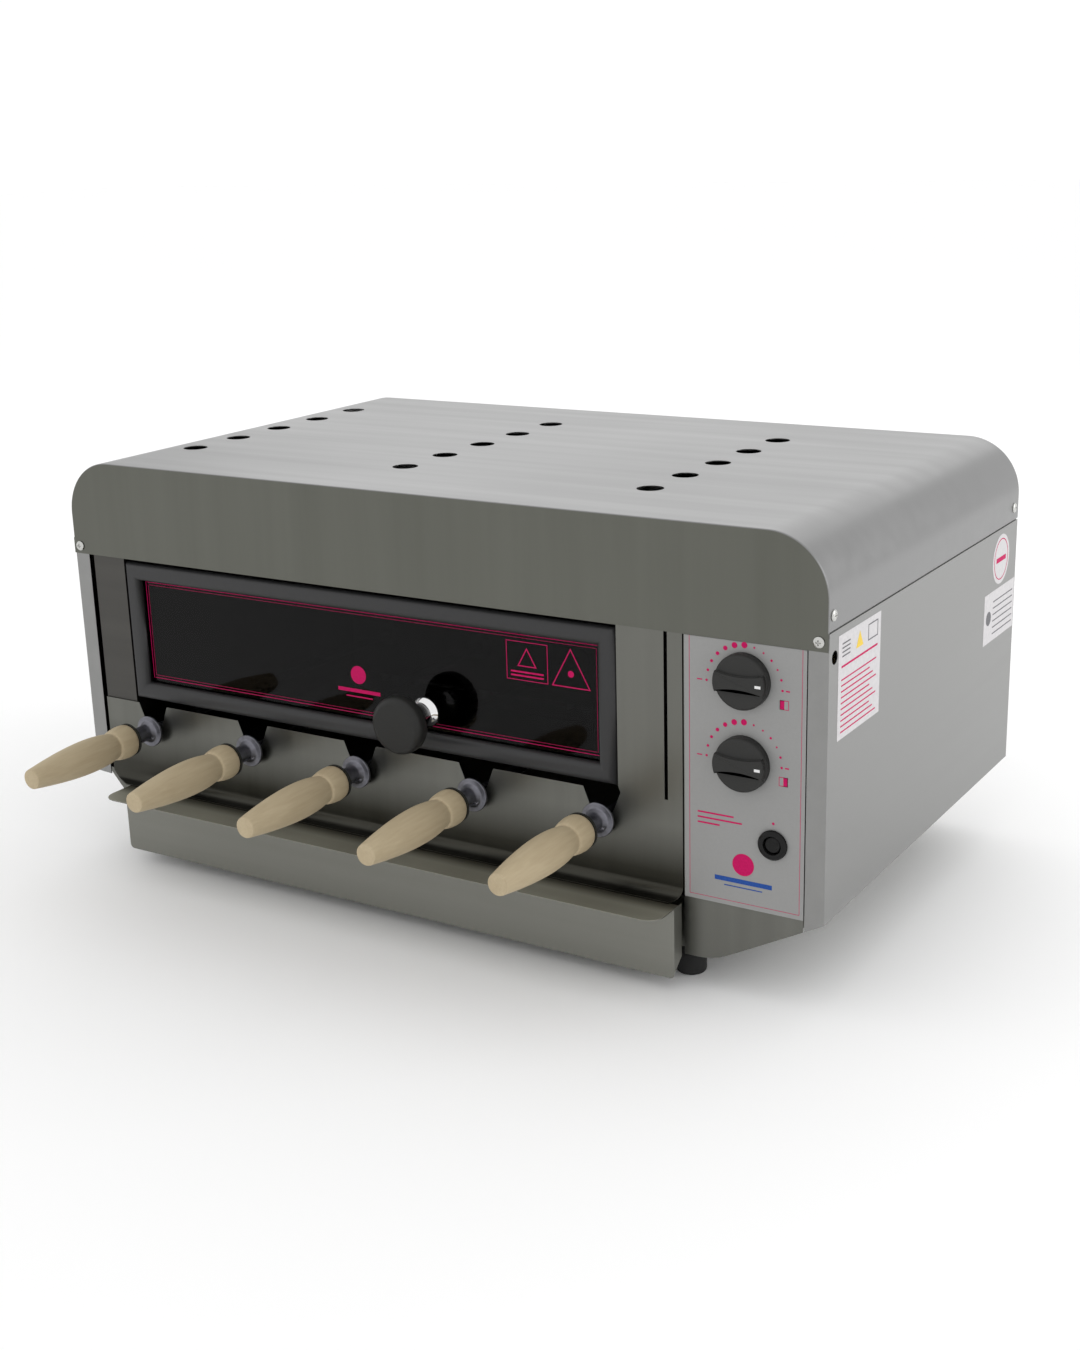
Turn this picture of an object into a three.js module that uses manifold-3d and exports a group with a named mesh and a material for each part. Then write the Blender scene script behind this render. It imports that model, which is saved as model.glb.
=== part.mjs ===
// Gas rotisserie oven with five skewers, a flip-up glass door and a drip drawer.
// Millimetres. X runs to the right, Y from the front to the back, Z up from the floor.
// The working frame has X = 0 at mid width, Y = 0 at the front face of the hood and Z = 0 under
// the feet; the finished group is shifted along Y so that its origin is bottom centre.

import * as THREE from 'three';
import { mergeVertices } from 'three/addons/utils/BufferGeometryUtils.js';
import Module from 'manifold-3d';

const wasm = await Module();
wasm.setup();

// ---------------------------------------------------------------- driving dimensions

const SHEET = 1;                    // sheet metal thickness
const GAP = 0.3;                    // clearance between pieces that touch
const RUNNING = 0.1;                // radial clearance of the door pins
const BODY_DEPTH = 403;
const TOTAL_HEIGHT = 352;           // floor to hood top

const SKEWER_COUNT = 5;
const SKEWER_PITCH = 112;           // skewer spacing, also the pitch diameter of the gears
const SKEWER_AXIS_HEIGHT = 121;     // above the floor
const CHAMBER_END_MARGIN = 48.5;    // end skewer to chamber wall
const SIDE_CAVITY = 25;             // left side panel to chamber
const CONTROL_BAY_WIDTH = 130;      // chamber to right side panel
const DRIVE_BAY_DEPTH = 55;         // chamber rear wall to the rear of the body
const CHAMBER_FLOOR_HEIGHT = 75;    // lower edge of the chamber walls above the floor
const SHELF_DROP = 76;              // burner shelf below the hood top
const SHELF_FRONT_Y = 24;           // shelf edge behind the hood front

const HOOD_RADIUS = 46;
const HOOD_SKIRT_DROP = 66.7;       // hood side skirt below the top
const FASCIA_DROP = 80.6;           // hood front below the top
const VENT_ROWS = 3;
const VENT_COUNT = 5;
const VENT_RADIUS = 10.5;
const VENT_ROW_PITCH = 226;
const VENT_PITCH = 56.9;
const VENT_FIRST_Y = 92.5;

const FLANGE_WIDTH = 15;            // front and rear returns of the side panels
const SIDE_BOTTOM_HEIGHT = 71;      // lower edge of the side panels above the floor
const PANEL_STEP_GAP = 1.4;         // visible line between hood skirt and side panel
const BODY_BOTTOM_HEIGHT = 25;      // flat underside above the floor
const UNDERSIDE_ANGLE = 28;         // slope of the lower corner, degrees
const UNDERSIDE_RADIUS = 50;        // bend between the slope and the flat underside

const CONTROL_PANEL_WIDTH = 95;
const NOTCH_DEPTH = 22;             // apron top above the skewer axis
const APRON_LIP_HEIGHT = 69;        // underside of the apron's forward lip
const APRON_LIP_REACH = 12;
const APRON_BEND_RADIUS = 8;
const NOTCH_TOP_HALF = 16;
const NOTCH_WAIST_HALF = 10;
const NOTCH_WAIST_DROP = 15;
const NOTCH_SEAT_RADIUS = 5.2;
const SLOT_WIDTH = 2.8;             // heat-break slot beside the door
const SLOT_OFFSET = 13;             // slot centre from the panel seam
const SEAM_GAP = 1;

const DOOR_TOP_GAP = 3.4;
const DOOR_SIDE_GAP = 1.5;
const DOOR_BOTTOM_GAP = 4;
const DOOR_LEFT_COVER = 30;         // chamber wall to door edge
const DOOR_RIGHT_COVER = 36;
const DOOR_BAR = 15;
const DOOR_DEPTH = 16;
const DOOR_BEVEL = 3;
const GLASS_THICKNESS = 4;
const GLASS_REBATE = 8;
const HINGE_DEPTH = 8;              // pin axis behind the door front
const HINGE_DROP = 8;               // pin axis below the door top
const HINGE_PIN_RADIUS = 4;
const KNOB_OFFSET = 65.5;           // knob right of the door centre
const KNOB_HEIGHT = 30;             // knob above the door bottom
const KNOB_RADIUS = 23.5;
const KNOB_REACH = 35;

const TRAY_INSET = 25.5;            // drawer narrower than the chamber, each side
const TRAY_FACE_OVERHANG = 24;      // drawer front past the drawer on both sides
const TRAY_FACE_REACH = 17;
const TRAY_LIP_REACH = 45;
const TRAY_BOTTOM_HEIGHT = 12;
const TRAY_WALL_HEIGHT = 52;
const TRAY_DEPTH = 335;
const TRAY_CORNER_RADIUS = 12;
const TRAY_SIDE_GAP = 5;

const FOOT_RADIUS = 12;
const FOOT_INSET = 26;              // foot axis behind the front and before the rear

const LABEL_THICKNESS = 0.5;
const LABEL_HEIGHT = 199;
const DIAL_RADIUS = 20.3;
const DIAL_SKIRT = 8;
const DIAL_GRIP = 3;
const DIAL_FIRST_DROP = 108.4;      // upper dial below the hood top
const DIAL_PITCH = 60.5;
const DIAL_OFFSET = 62.3;           // dial axis inside the right side
const SPINDLE_RADIUS = 4;
const IGNITER_OFFSET = 39.2;
const IGNITER_SHARE = 0.48;         // height between label foot and lower dial
const IGNITER_RADIUS = 11.35;
const BUTTON_RADIUS = 6.2;
const BUTTON_TRAVEL = 3.5;

const ROD_RADIUS = 4;
const ROD_SQUARE = 7;
const COLLAR_RADIUS = 13.5;
const HANDLE_RADIUS = 14.4;
const HANDLE_START = 32;          // wood begins this far in front of the apron
const HANDLE_END = 142;             // tip of the wood in front of the apron
const TANG_RADIUS = 3;
const TANG_LENGTH = 40;

const DRIVE_PLATE = 1.5;            // plates that carry the gears
const DRIVE_PLATE_MARGIN = 8;       // plate edge past the pinion
const GEAR_TEETH = 20;
const PINION_TEETH = 10;
const PINION_PIVOT_RADIUS = 5;
const GEAR_FACE = 8;
const GEAR_HUB_RADIUS = 12;
const GEAR_BOSS_RADIUS = 8;
const PRESSURE_ANGLE = 20;
const BACKLASH = 1.2;
const TOOTH_ADDENDUM = 0.8;         // stubbed, in modules
const TOOTH_DEDENDUM = 1.1;
const GEAR_SIDE_CLEARANCE = 4;      // end gear to side panel
const MOTOR_DIRECTION = 45;         // pinion seen from the last gear, degrees above +X
const MOTOR_RADIUS = 25;
const MOTOR_LENGTH = 22;

const BURNER_WIDTH = 190;
const BURNER_LENGTH = 230;
const BURNER_HEIGHT = 36;
const BURNER_WALL = 1.5;
const TILE_THICKNESS = 13;
const BURNER_RIM = 8;               // shelf rim that carries each tile
const PORT_LENGTH = 4;              // gas port behind each burner
const PIPE_RADIUS = 4;
const INLET_RADIUS = 5;
const INLET_NUT_RADIUS = 10.5;
const INLET_REACH = 23;             // hose nozzle behind the rear panel
const GLAND_RADIUS = 8;
const GLAND_BORE_RADIUS = 3.6;
const GLAND_HEIGHT = 100;
const GLAND_OFFSET = 100;           // gland inside the right side
const SCREW_HEAD_RADIUS = 4.2;
const SCREW_SHANK_RADIUS = 2;
const SCREW_HOLE_RADIUS = 2.4;
const SCREW_HEAD_HEIGHT = 1.8;
const SKIRT_SCREW_INSET = 8;        // hood side screw behind the hood front

// ---------------------------------------------------------------- worked-out places

const chamberWidth = (SKEWER_COUNT - 1) * SKEWER_PITCH + 2 * CHAMBER_END_MARGIN;
const gearModule = SKEWER_PITCH / GEAR_TEETH;
const gearTipRadius = SKEWER_PITCH / 2 + TOOTH_ADDENDUM * gearModule;
const sideCavity = Math.max(SIDE_CAVITY, gearTipRadius + GEAR_SIDE_CLEARANCE - CHAMBER_END_MARGIN);
const pinionDistance = SKEWER_PITCH * (1 + PINION_TEETH / GEAR_TEETH) / 2;
const motorAngle = THREE.MathUtils.degToRad(MOTOR_DIRECTION);
const pinionReach = pinionDistance * Math.cos(motorAngle) + PINION_TEETH / GEAR_TEETH * SKEWER_PITCH / 2;
const drivePlateReach = pinionReach - CHAMBER_END_MARGIN + DRIVE_PLATE_MARGIN;
const drivePlateRoom = drivePlateReach + INLET_NUT_RADIUS + DIAL_OFFSET + 2 * SHEET;
const controlBayWidth = Math.max(CONTROL_BAY_WIDTH, drivePlateRoom);
const bodyWidth = sideCavity + chamberWidth + controlBayWidth;
const halfWidth = bodyWidth / 2;
const chamberLeftX = -halfWidth + sideCavity;
const chamberRightX = chamberLeftX + chamberWidth;
const chamberCentreX = (chamberLeftX + chamberRightX) / 2;

// three layers of front sheet, each behind the one before
const layerY = (layer) => layer * (SHEET + GAP);
const rearPanelY = BODY_DEPTH - 2 * SHEET - GAP;
const chamberRearY = BODY_DEPTH - DRIVE_BAY_DEPTH;

const fasciaBottomZ = TOTAL_HEIGHT - FASCIA_DROP;
const apronTopZ = SKEWER_AXIS_HEIGHT + NOTCH_DEPTH;
const skirtBottomZ = TOTAL_HEIGHT - HOOD_SKIRT_DROP;
const shelfZ = TOTAL_HEIGHT - SHELF_DROP;
const tuckedTopZ = fasciaBottomZ + 6;

const seamX = halfWidth - FLANGE_WIDTH - CONTROL_PANEL_WIDTH;
const frontLeftX = -halfWidth + FLANGE_WIDTH + 4;
const doorLeftX = chamberLeftX + DOOR_LEFT_COVER;
const doorRightX = chamberRightX - DOOR_RIGHT_COVER;
const doorTopZ = fasciaBottomZ - DOOR_TOP_GAP;
const doorBottomZ = apronTopZ + DOOR_BOTTOM_GAP;
const hingeZ = doorTopZ - HINGE_DROP;
const knobX = (doorLeftX + doorRightX) / 2 + KNOB_OFFSET;
const knobZ = doorBottomZ + KNOB_HEIGHT;

const trayWidth = chamberWidth - 2 * TRAY_INSET;
const trayCentreX = (frontLeftX + seamX) / 2 + 15.5;
const trayLipTopZ = APRON_LIP_HEIGHT - GAP - 0.2;

const gearY = chamberRearY + 10;
const retainerY = gearY + GEAR_FACE + 8;
const socketY = chamberRearY - 4;
const skewerX = (index) => chamberCentreX + (index - (SKEWER_COUNT - 1) / 2) * SKEWER_PITCH;
const motorX = skewerX(SKEWER_COUNT - 1) + pinionDistance * Math.cos(motorAngle);
const motorZ = SKEWER_AXIS_HEIGHT + pinionDistance * Math.sin(motorAngle);

const dialX = halfWidth - DIAL_OFFSET;
const dialZ = (index) => TOTAL_HEIGHT - DIAL_FIRST_DROP - index * DIAL_PITCH;
const labelTopZ = fasciaBottomZ - GAP;
const labelBottomZ = labelTopZ - LABEL_HEIGHT;
const igniterX = halfWidth - IGNITER_OFFSET;
const igniterZ = THREE.MathUtils.lerp(labelBottomZ, dialZ(1), IGNITER_SHARE);
const manifoldY = 56;
const inletZ = (dialZ(0) + dialZ(1)) / 2;

const burnerX = (index) => chamberCentreX + (index - 0.5) * VENT_ROW_PITCH;
const burnerY = VENT_FIRST_Y + (VENT_COUNT - 1) * VENT_PITCH / 2;
const burnerBottomZ = shelfZ + SHEET + GAP;

const originY = (BODY_DEPTH + INLET_REACH - HANDLE_END) / 2;

// ---------------------------------------------------------------- shapes and solids

function outline(points) {
  return new THREE.Shape(points.map(([x, y]) => new THREE.Vector2(x, y)));
}

function circlePoints(x, y, radius, sides) {
  return Array.from({ length: sides }, (_, k) => {
    const angle = (k + 0.5) / sides * 2 * Math.PI;
    return [x + radius * Math.cos(angle), y + radius * Math.sin(angle)];
  });
}

function arcPoints(x, y, radius, fromDegrees, toDegrees, steps) {
  return Array.from({ length: steps + 1 }, (_, k) => {
    const angle = THREE.MathUtils.degToRad(fromDegrees + (toDegrees - fromDegrees) * k / steps);
    return [x + radius * Math.cos(angle), y + radius * Math.sin(angle)];
  });
}

function rectanglePoints(x0, x1, y0, y1) {
  return [[x0, y0], [x1, y0], [x1, y1], [x0, y1]];
}

function withHoles(points, holes) {
  const shape = outline(points);
  shape.holes = holes.map((hole) => outline(hole));
  return shape;
}

// an outline in X and Z, given thickness along Y
function alongY(shape, y0, y1, options = {}) {
  const geometry = new THREE.ExtrudeGeometry(shape, { depth: y1 - y0, bevelEnabled: false, ...options });
  return geometry.rotateX(Math.PI / 2).translate(0, y1, 0);
}

// an outline in Y and Z, given length along X
function alongX(shape, x0, x1) {
  const geometry = new THREE.ExtrudeGeometry(shape, { depth: x1 - x0, bevelEnabled: false });
  const turn = new THREE.Matrix4().makeBasis(
    new THREE.Vector3(0, 1, 0), new THREE.Vector3(0, 0, 1), new THREE.Vector3(1, 0, 0));
  return geometry.applyMatrix4(turn).translate(x0, 0, 0);
}

// an outline in X and Y, given height along Z
function alongZ(shape, z0, z1) {
  const geometry = new THREE.ExtrudeGeometry(shape, { depth: z1 - z0, bevelEnabled: false });
  return geometry.translate(0, 0, z0);
}

// a plate with an outline in X and Z, cut through by holes
function plateAlongY(points, holes, y0, y1) {
  return cut(alongY(outline(points), y0, y1), ...holes.map((hole) => alongY(outline(hole), y0 - 1, y1 + 1)));
}

function block(x0, x1, y0, y1, z0, z1) {
  const geometry = new THREE.BoxGeometry(Math.abs(x1 - x0), y1 - y0, z1 - z0);
  return geometry.translate((x0 + x1) / 2, (y0 + y1) / 2, (z0 + z1) / 2);
}

function rodAlongY(x, z, radius, y0, y1, sides = 12) {
  const geometry = new THREE.CylinderGeometry(radius, radius, y1 - y0, sides);
  return geometry.translate(x, (y0 + y1) / 2, z);
}

function rodAlongX(y, z, radius, x0, x1, sides = 12) {
  const geometry = new THREE.CylinderGeometry(radius, radius, Math.abs(x1 - x0), sides);
  return geometry.rotateZ(-Math.PI / 2).translate((x0 + x1) / 2, y, z);
}

function rodAlongZ(x, y, radius, z0, z1, sides = 12) {
  const geometry = new THREE.CylinderGeometry(radius, radius, z1 - z0, sides);
  return geometry.rotateX(Math.PI / 2).translate(x, y, (z0 + z1) / 2);
}

// a profile of [radius, y] pairs turned about the Y axis
function turned(profile, sides = 14) {
  return new THREE.LatheGeometry(profile.map(([r, y]) => new THREE.Vector2(r, y)), sides);
}

function solidOf(geometry) {
  const bare = geometry.clone();
  bare.deleteAttribute('normal');
  bare.deleteAttribute('uv');
  const merged = mergeVertices(bare, 1e-4);
  const triangles = [];
  for (let k = 0; k < merged.index.count; k += 3) {
    const [a, b, c] = [0, 1, 2].map((corner) => merged.index.getX(k + corner));
    if (a !== b && b !== c && c !== a) triangles.push(a, b, c);
  }
  return new wasm.Manifold(new wasm.Mesh({
    numProp: 3,
    vertProperties: new Float32Array(merged.attributes.position.array),
    triVerts: new Uint32Array(triangles),
  }));
}

function geometryOf(solid) {
  const mesh = solid.getMesh();
  const geometry = new THREE.BufferGeometry();
  geometry.setAttribute('position', new THREE.BufferAttribute(new Float32Array(mesh.vertProperties), 3));
  geometry.setIndex(new THREE.BufferAttribute(new Uint32Array(mesh.triVerts), 1));
  geometry.computeVertexNormals();
  return geometry;
}

function joined(...geometries) {
  return geometryOf(geometries.map(solidOf).reduce((whole, piece) => whole.add(piece)));
}

function cut(geometry, ...tools) {
  return geometryOf(tools.map(solidOf).reduce((rest, tool) => rest.subtract(tool), solidOf(geometry)));
}

function common(geometry, tool) {
  return geometryOf(solidOf(geometry).intersect(solidOf(tool)));
}

// a round tube or wire of the given radius along a smooth curve through the points
function wireThrough(points, radius, steps) {
  const corners = points.map(([x, y, z]) => new THREE.Vector3(x, y, z));
  const route = new THREE.CatmullRomCurve3(corners, false, 'centripetal');
  return new THREE.ExtrudeGeometry(outline(circlePoints(0, 0, radius, 8)), { steps, extrudePath: route });
}

// ---------------------------------------------------------------- materials

const FINISHES = {
  steel: { color: 0x8c8c86, roughness: 0.35, metalness: 1 },
  darkSteel: { color: 0x50504c, roughness: 0.45, metalness: 1 },
  zinc: { color: 0x8f919c, roughness: 0.4, metalness: 1 },
  brass: { color: 0xb08d4a, roughness: 0.4, metalness: 1 },
  blackEnamel: { color: 0x2e2e2f, roughness: 0.45, metalness: 0.1 },
  glass: { color: 0x151515, roughness: 0.05, metalness: 0 },
  wood: { color: 0xb39f7c, roughness: 0.7, metalness: 0 },
  plastic: { color: 0x2a2a28, roughness: 0.4, metalness: 0 },
  rubber: { color: 0x1c1c1c, roughness: 0.85, metalness: 0 },
  label: { color: 0xb4b4b2, roughness: 0.5, metalness: 0.2 },
  ceramic: { color: 0xd8cdb8, roughness: 0.9, metalness: 0 },
  gearSteel: { color: 0x77777a, roughness: 0.5, metalness: 1 },
};

const body = new THREE.Group();

function place(name, geometry, finish, x = 0, y = 0, z = 0) {
  const mesh = new THREE.Mesh(geometry, new THREE.MeshStandardMaterial(FINISHES[finish]));
  mesh.name = name;
  mesh.position.set(x, y, z);
  body.add(mesh);
  return mesh;
}

// ---------------------------------------------------------------- hood

// half-round shouldered outline of the hood, from the right foot over the top to the left foot
function archPoints(inset, bottomZ) {
  const half = halfWidth - inset;
  const radius = HOOD_RADIUS - inset;
  const top = TOTAL_HEIGHT - inset;
  const right = arcPoints(half - radius, top - radius, radius, 0, 90, 8);
  const left = right.map(([x, z]) => [-x, z]).reverse();
  return [[half, bottomZ], ...right, ...left, [-half, bottomZ]];
}

function hood() {
  const outer = archPoints(0, skirtBottomZ);
  const inner = archPoints(SHEET, skirtBottomZ).reverse();
  const wrap = alongY(outline([...outer, ...inner]), 0, BODY_DEPTH);
  const vents = [];
  for (let row = 0; row < VENT_ROWS; row += 1) {
    const x = chamberCentreX - 8 + (row - (VENT_ROWS - 1) / 2) * VENT_ROW_PITCH;
    for (let k = 0; k < VENT_COUNT; k += 1) {
      const y = VENT_FIRST_Y + k * VENT_PITCH;
      vents.push(rodAlongZ(x, y, VENT_RADIUS, TOTAL_HEIGHT - 3 * SHEET, TOTAL_HEIGHT + SHEET, 14));
    }
  }
  const screwHoles = [-1, 1].map((side) => rodAlongX(SKIRT_SCREW_INSET, skirtScrewZ, SCREW_HOLE_RADIUS,
    side * (halfWidth - 2 * SHEET), side * (halfWidth + 2 * SHEET), 8));
  return cut(wrap, ...vents, ...screwHoles);
}

// front plate welded into the mouth of the wrap
function hoodFront() {
  const screwHoles = [-1, 1].map((side) =>
    circlePoints(side * fasciaScrewX, fasciaScrewZ, SCREW_HOLE_RADIUS, 8));
  return plateAlongY(archPoints(SHEET + GAP, fasciaBottomZ), screwHoles, 0, SHEET);
}

// ---------------------------------------------------------------- outer casing

const fasciaScrewX = halfWidth - 7;
const fasciaScrewZ = fasciaBottomZ + 6.6;
const skirtScrewZ = (skirtBottomZ + TOTAL_HEIGHT - HOOD_RADIUS) / 2;

function sidePanel(side) {
  const outerX = side * halfWidth;
  const stepZ = skirtBottomZ - PANEL_STEP_GAP;
  const innerX = side * (halfWidth - SHEET - GAP);
  const tabTopZ = TOTAL_HEIGHT - HOOD_RADIUS - 2 * SHEET;
  const flangeX = side * (halfWidth - FLANGE_WIDTH);
  const slopeDrop = FLANGE_WIDTH * Math.tan(THREE.MathUtils.degToRad(UNDERSIDE_ANGLE));
  const wall = alongY(outline([
    [outerX, SIDE_BOTTOM_HEIGHT],
    [outerX, stepZ],
    [innerX, stepZ],
    [innerX, tabTopZ],
    [innerX - side * SHEET, tabTopZ],
    [innerX - side * SHEET, stepZ - SHEET],
    [outerX - side * SHEET, stepZ - SHEET],
    [outerX - side * SHEET, SIDE_BOTTOM_HEIGHT],
  ]), layerY(1), BODY_DEPTH);
  const frontDrop = side > 0 ? slopeDrop : SHEET;
  const flange = (drop, y) => alongY(outline([
    [outerX, SIDE_BOTTOM_HEIGHT],
    [outerX, stepZ],
    [flangeX, stepZ],
    [flangeX, SIDE_BOTTOM_HEIGHT - drop],
  ]), y, y + SHEET);
  const screwHoles = [
    rodAlongY(side * fasciaScrewX, fasciaScrewZ, SCREW_HOLE_RADIUS, 0, 4 * SHEET, 8),
    rodAlongX(SKIRT_SCREW_INSET, skirtScrewZ, SCREW_HOLE_RADIUS,
      side * (halfWidth - 4 * SHEET), side * (halfWidth + SHEET), 8),
  ];
  const shell = joined(wall, flange(frontDrop, layerY(1)), flange(SHEET, BODY_DEPTH - SHEET));
  if (side < 0) return cut(shell, ...screwHoles);
  const vent = rodAlongX(11, fasciaBottomZ - 6, 5, halfWidth - 2 * SHEET, halfWidth + SHEET, 12);
  return cut(shell, ...screwHoles, vent);
}

// right half of the underside outline, from the side panel down to the flat bottom
function undersidePoints(outerX, flatEndX) {
  const slope = THREE.MathUtils.degToRad(UNDERSIDE_ANGLE);
  const bendX = outerX - (SIDE_BOTTOM_HEIGHT - BODY_BOTTOM_HEIGHT) / Math.tan(slope);
  const reach = UNDERSIDE_RADIUS * Math.tan(slope / 2);
  const bend = arcPoints(bendX - reach, BODY_BOTTOM_HEIGHT + UNDERSIDE_RADIUS, UNDERSIDE_RADIUS,
    -90 + UNDERSIDE_ANGLE, -90, 4);
  return [[outerX, SIDE_BOTTOM_HEIGHT], ...bend, [flatEndX, BODY_BOTTOM_HEIGHT]];
}

function controlPanel() {
  const rightX = halfWidth - FLANGE_WIDTH - SEAM_GAP;
  const slopeDrop = (FLANGE_WIDTH + SEAM_GAP) * Math.tan(THREE.MathUtils.degToRad(UNDERSIDE_ANGLE));
  const lower = undersidePoints(halfWidth, seamX).slice(1);
  const face = [
    [rightX, tuckedTopZ], [rightX, SIDE_BOTTOM_HEIGHT - slopeDrop], ...lower, [seamX, tuckedTopZ],
  ];
  return plateAlongY(face, panelHoles(0.4), layerY(1), layerY(1) + SHEET);
}

function panelHoles(clearance) {
  return [
    circlePoints(dialX, dialZ(0), SPINDLE_RADIUS + 2 + clearance, 12),
    circlePoints(dialX, dialZ(1), SPINDLE_RADIUS + 2 + clearance, 12),
    circlePoints(igniterX, igniterZ, 8 + clearance, 14),
  ];
}

function controlLabel() {
  const frontY = layerY(1) - GAP - LABEL_THICKNESS;
  const rightX = halfWidth - FLANGE_WIDTH - 0.5;
  return plateAlongY(rectanglePoints(seamX + 1, rightX, labelBottomZ, labelTopZ), panelHoles(0.6),
    frontY, frontY + LABEL_THICKNESS);
}

// apron and door upright in one sheet: notched top edge, bent lip along the bottom
function frontPanel() {
  const rightX = seamX - SEAM_GAP;
  const uprightX = doorRightX + DOOR_SIDE_GAP;
  const bendZ = APRON_LIP_HEIGHT + SHEET + APRON_BEND_RADIUS;
  const face = [[frontLeftX, bendZ - SHEET], [frontLeftX, apronTopZ]];
  for (let k = 0; k < SKEWER_COUNT; k += 1) {
    const x = skewerX(k);
    const waistZ = apronTopZ - NOTCH_WAIST_DROP;
    face.push([x - NOTCH_TOP_HALF, apronTopZ], [x - NOTCH_WAIST_HALF, waistZ]);
    face.push(...arcPoints(x, SKEWER_AXIS_HEIGHT, NOTCH_SEAT_RADIUS, 180, 360, 4));
    face.push([x + NOTCH_WAIST_HALF, waistZ]);
    if (k < SKEWER_COUNT - 1) face.push([x + NOTCH_TOP_HALF, apronTopZ]);
  }
  const lastNotchX = skewerX(SKEWER_COUNT - 1) + NOTCH_TOP_HALF;
  face.push([lastNotchX, apronTopZ]);
  if (lastNotchX < uprightX) face.push([uprightX, apronTopZ]);
  face.push([uprightX, doorBottomZ + SHEET], [uprightX, tuckedTopZ]);
  face.push([rightX, tuckedTopZ], [rightX, bendZ - SHEET]);
  const slotX = seamX - SLOT_OFFSET - SLOT_WIDTH / 2;
  const slot = rectanglePoints(slotX - SLOT_WIDTH / 2, slotX + SLOT_WIDTH / 2,
    apronTopZ + 1, fasciaBottomZ + 2);
  const plate = plateAlongY(face, [slot], layerY(1), layerY(1) + SHEET);
  const bendY = layerY(1) - APRON_BEND_RADIUS;
  const bend = alongX(outline([
    [layerY(1), bendZ + SHEET],
    ...arcPoints(bendY, bendZ, APRON_BEND_RADIUS, 0, -90, 4),
    [-APRON_LIP_REACH, APRON_LIP_HEIGHT + SHEET],
    [-APRON_LIP_REACH, APRON_LIP_HEIGHT],
    ...arcPoints(bendY, bendZ, APRON_BEND_RADIUS + SHEET, -90, 0, 4),
    [layerY(1) + SHEET, bendZ + SHEET],
  ]), frontLeftX, rightX);
  const plan = alongZ(outline([
    [frontLeftX, layerY(1) + 2 * SHEET],
    [frontLeftX, layerY(1)],
    [frontLeftX + 29, -APRON_LIP_REACH - SHEET],
    [rightX - 6, -APRON_LIP_REACH - SHEET],
    [rightX, layerY(1)],
    [rightX, layerY(1) + 2 * SHEET],
  ]), APRON_LIP_HEIGHT - SHEET, bendZ + 2 * SHEET);
  return joined(plate, common(bend, plan));
}

// jamb with a return flange that carries a door pin
function jamb(side) {
  const edgeX = side < 0 ? doorLeftX - 1 : doorRightX + 4;
  const wallX = side < 0 ? frontLeftX : chamberRightX + SHEET;
  const bottomZ = side < 0 ? apronTopZ - 10 : apronTopZ - 4;
  const plate = block(edgeX, wallX, layerY(2), layerY(2) + SHEET, bottomZ, tuckedTopZ);
  const flange = block(edgeX, edgeX + side * SHEET, layerY(2), 22, bottomZ, tuckedTopZ);
  const eye = rodAlongX(HINGE_DEPTH, hingeZ, HINGE_PIN_RADIUS + RUNNING, edgeX - 3, edgeX + 3, 16);
  return cut(joined(plate, flange), eye);
}

function rearPanel() {
  const edge = 2 * (SHEET + GAP);
  const louvres = [];
  for (let row = 0; row < 3; row += 1) {
    for (let column = 0; column < 4; column += 1) {
      const x = motorX + (column - 1.5) * 22;
      const z = motorZ + (row - 1) * 12;
      louvres.push(rectanglePoints(x - 8, x + 8, z - 2, z + 2));
    }
  }
  const holes = [
    circlePoints(dialX, inletZ, INLET_RADIUS + 2.5, 12),
    circlePoints(halfWidth - GLAND_OFFSET, GLAND_HEIGHT, GLAND_RADIUS + GAP, 14),
  ];
  const arch = archPoints(edge, SIDE_BOTTOM_HEIGHT + 3 * SHEET);
  return plateAlongY(arch, [...louvres, ...holes], rearPanelY, rearPanelY + SHEET);
}

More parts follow.
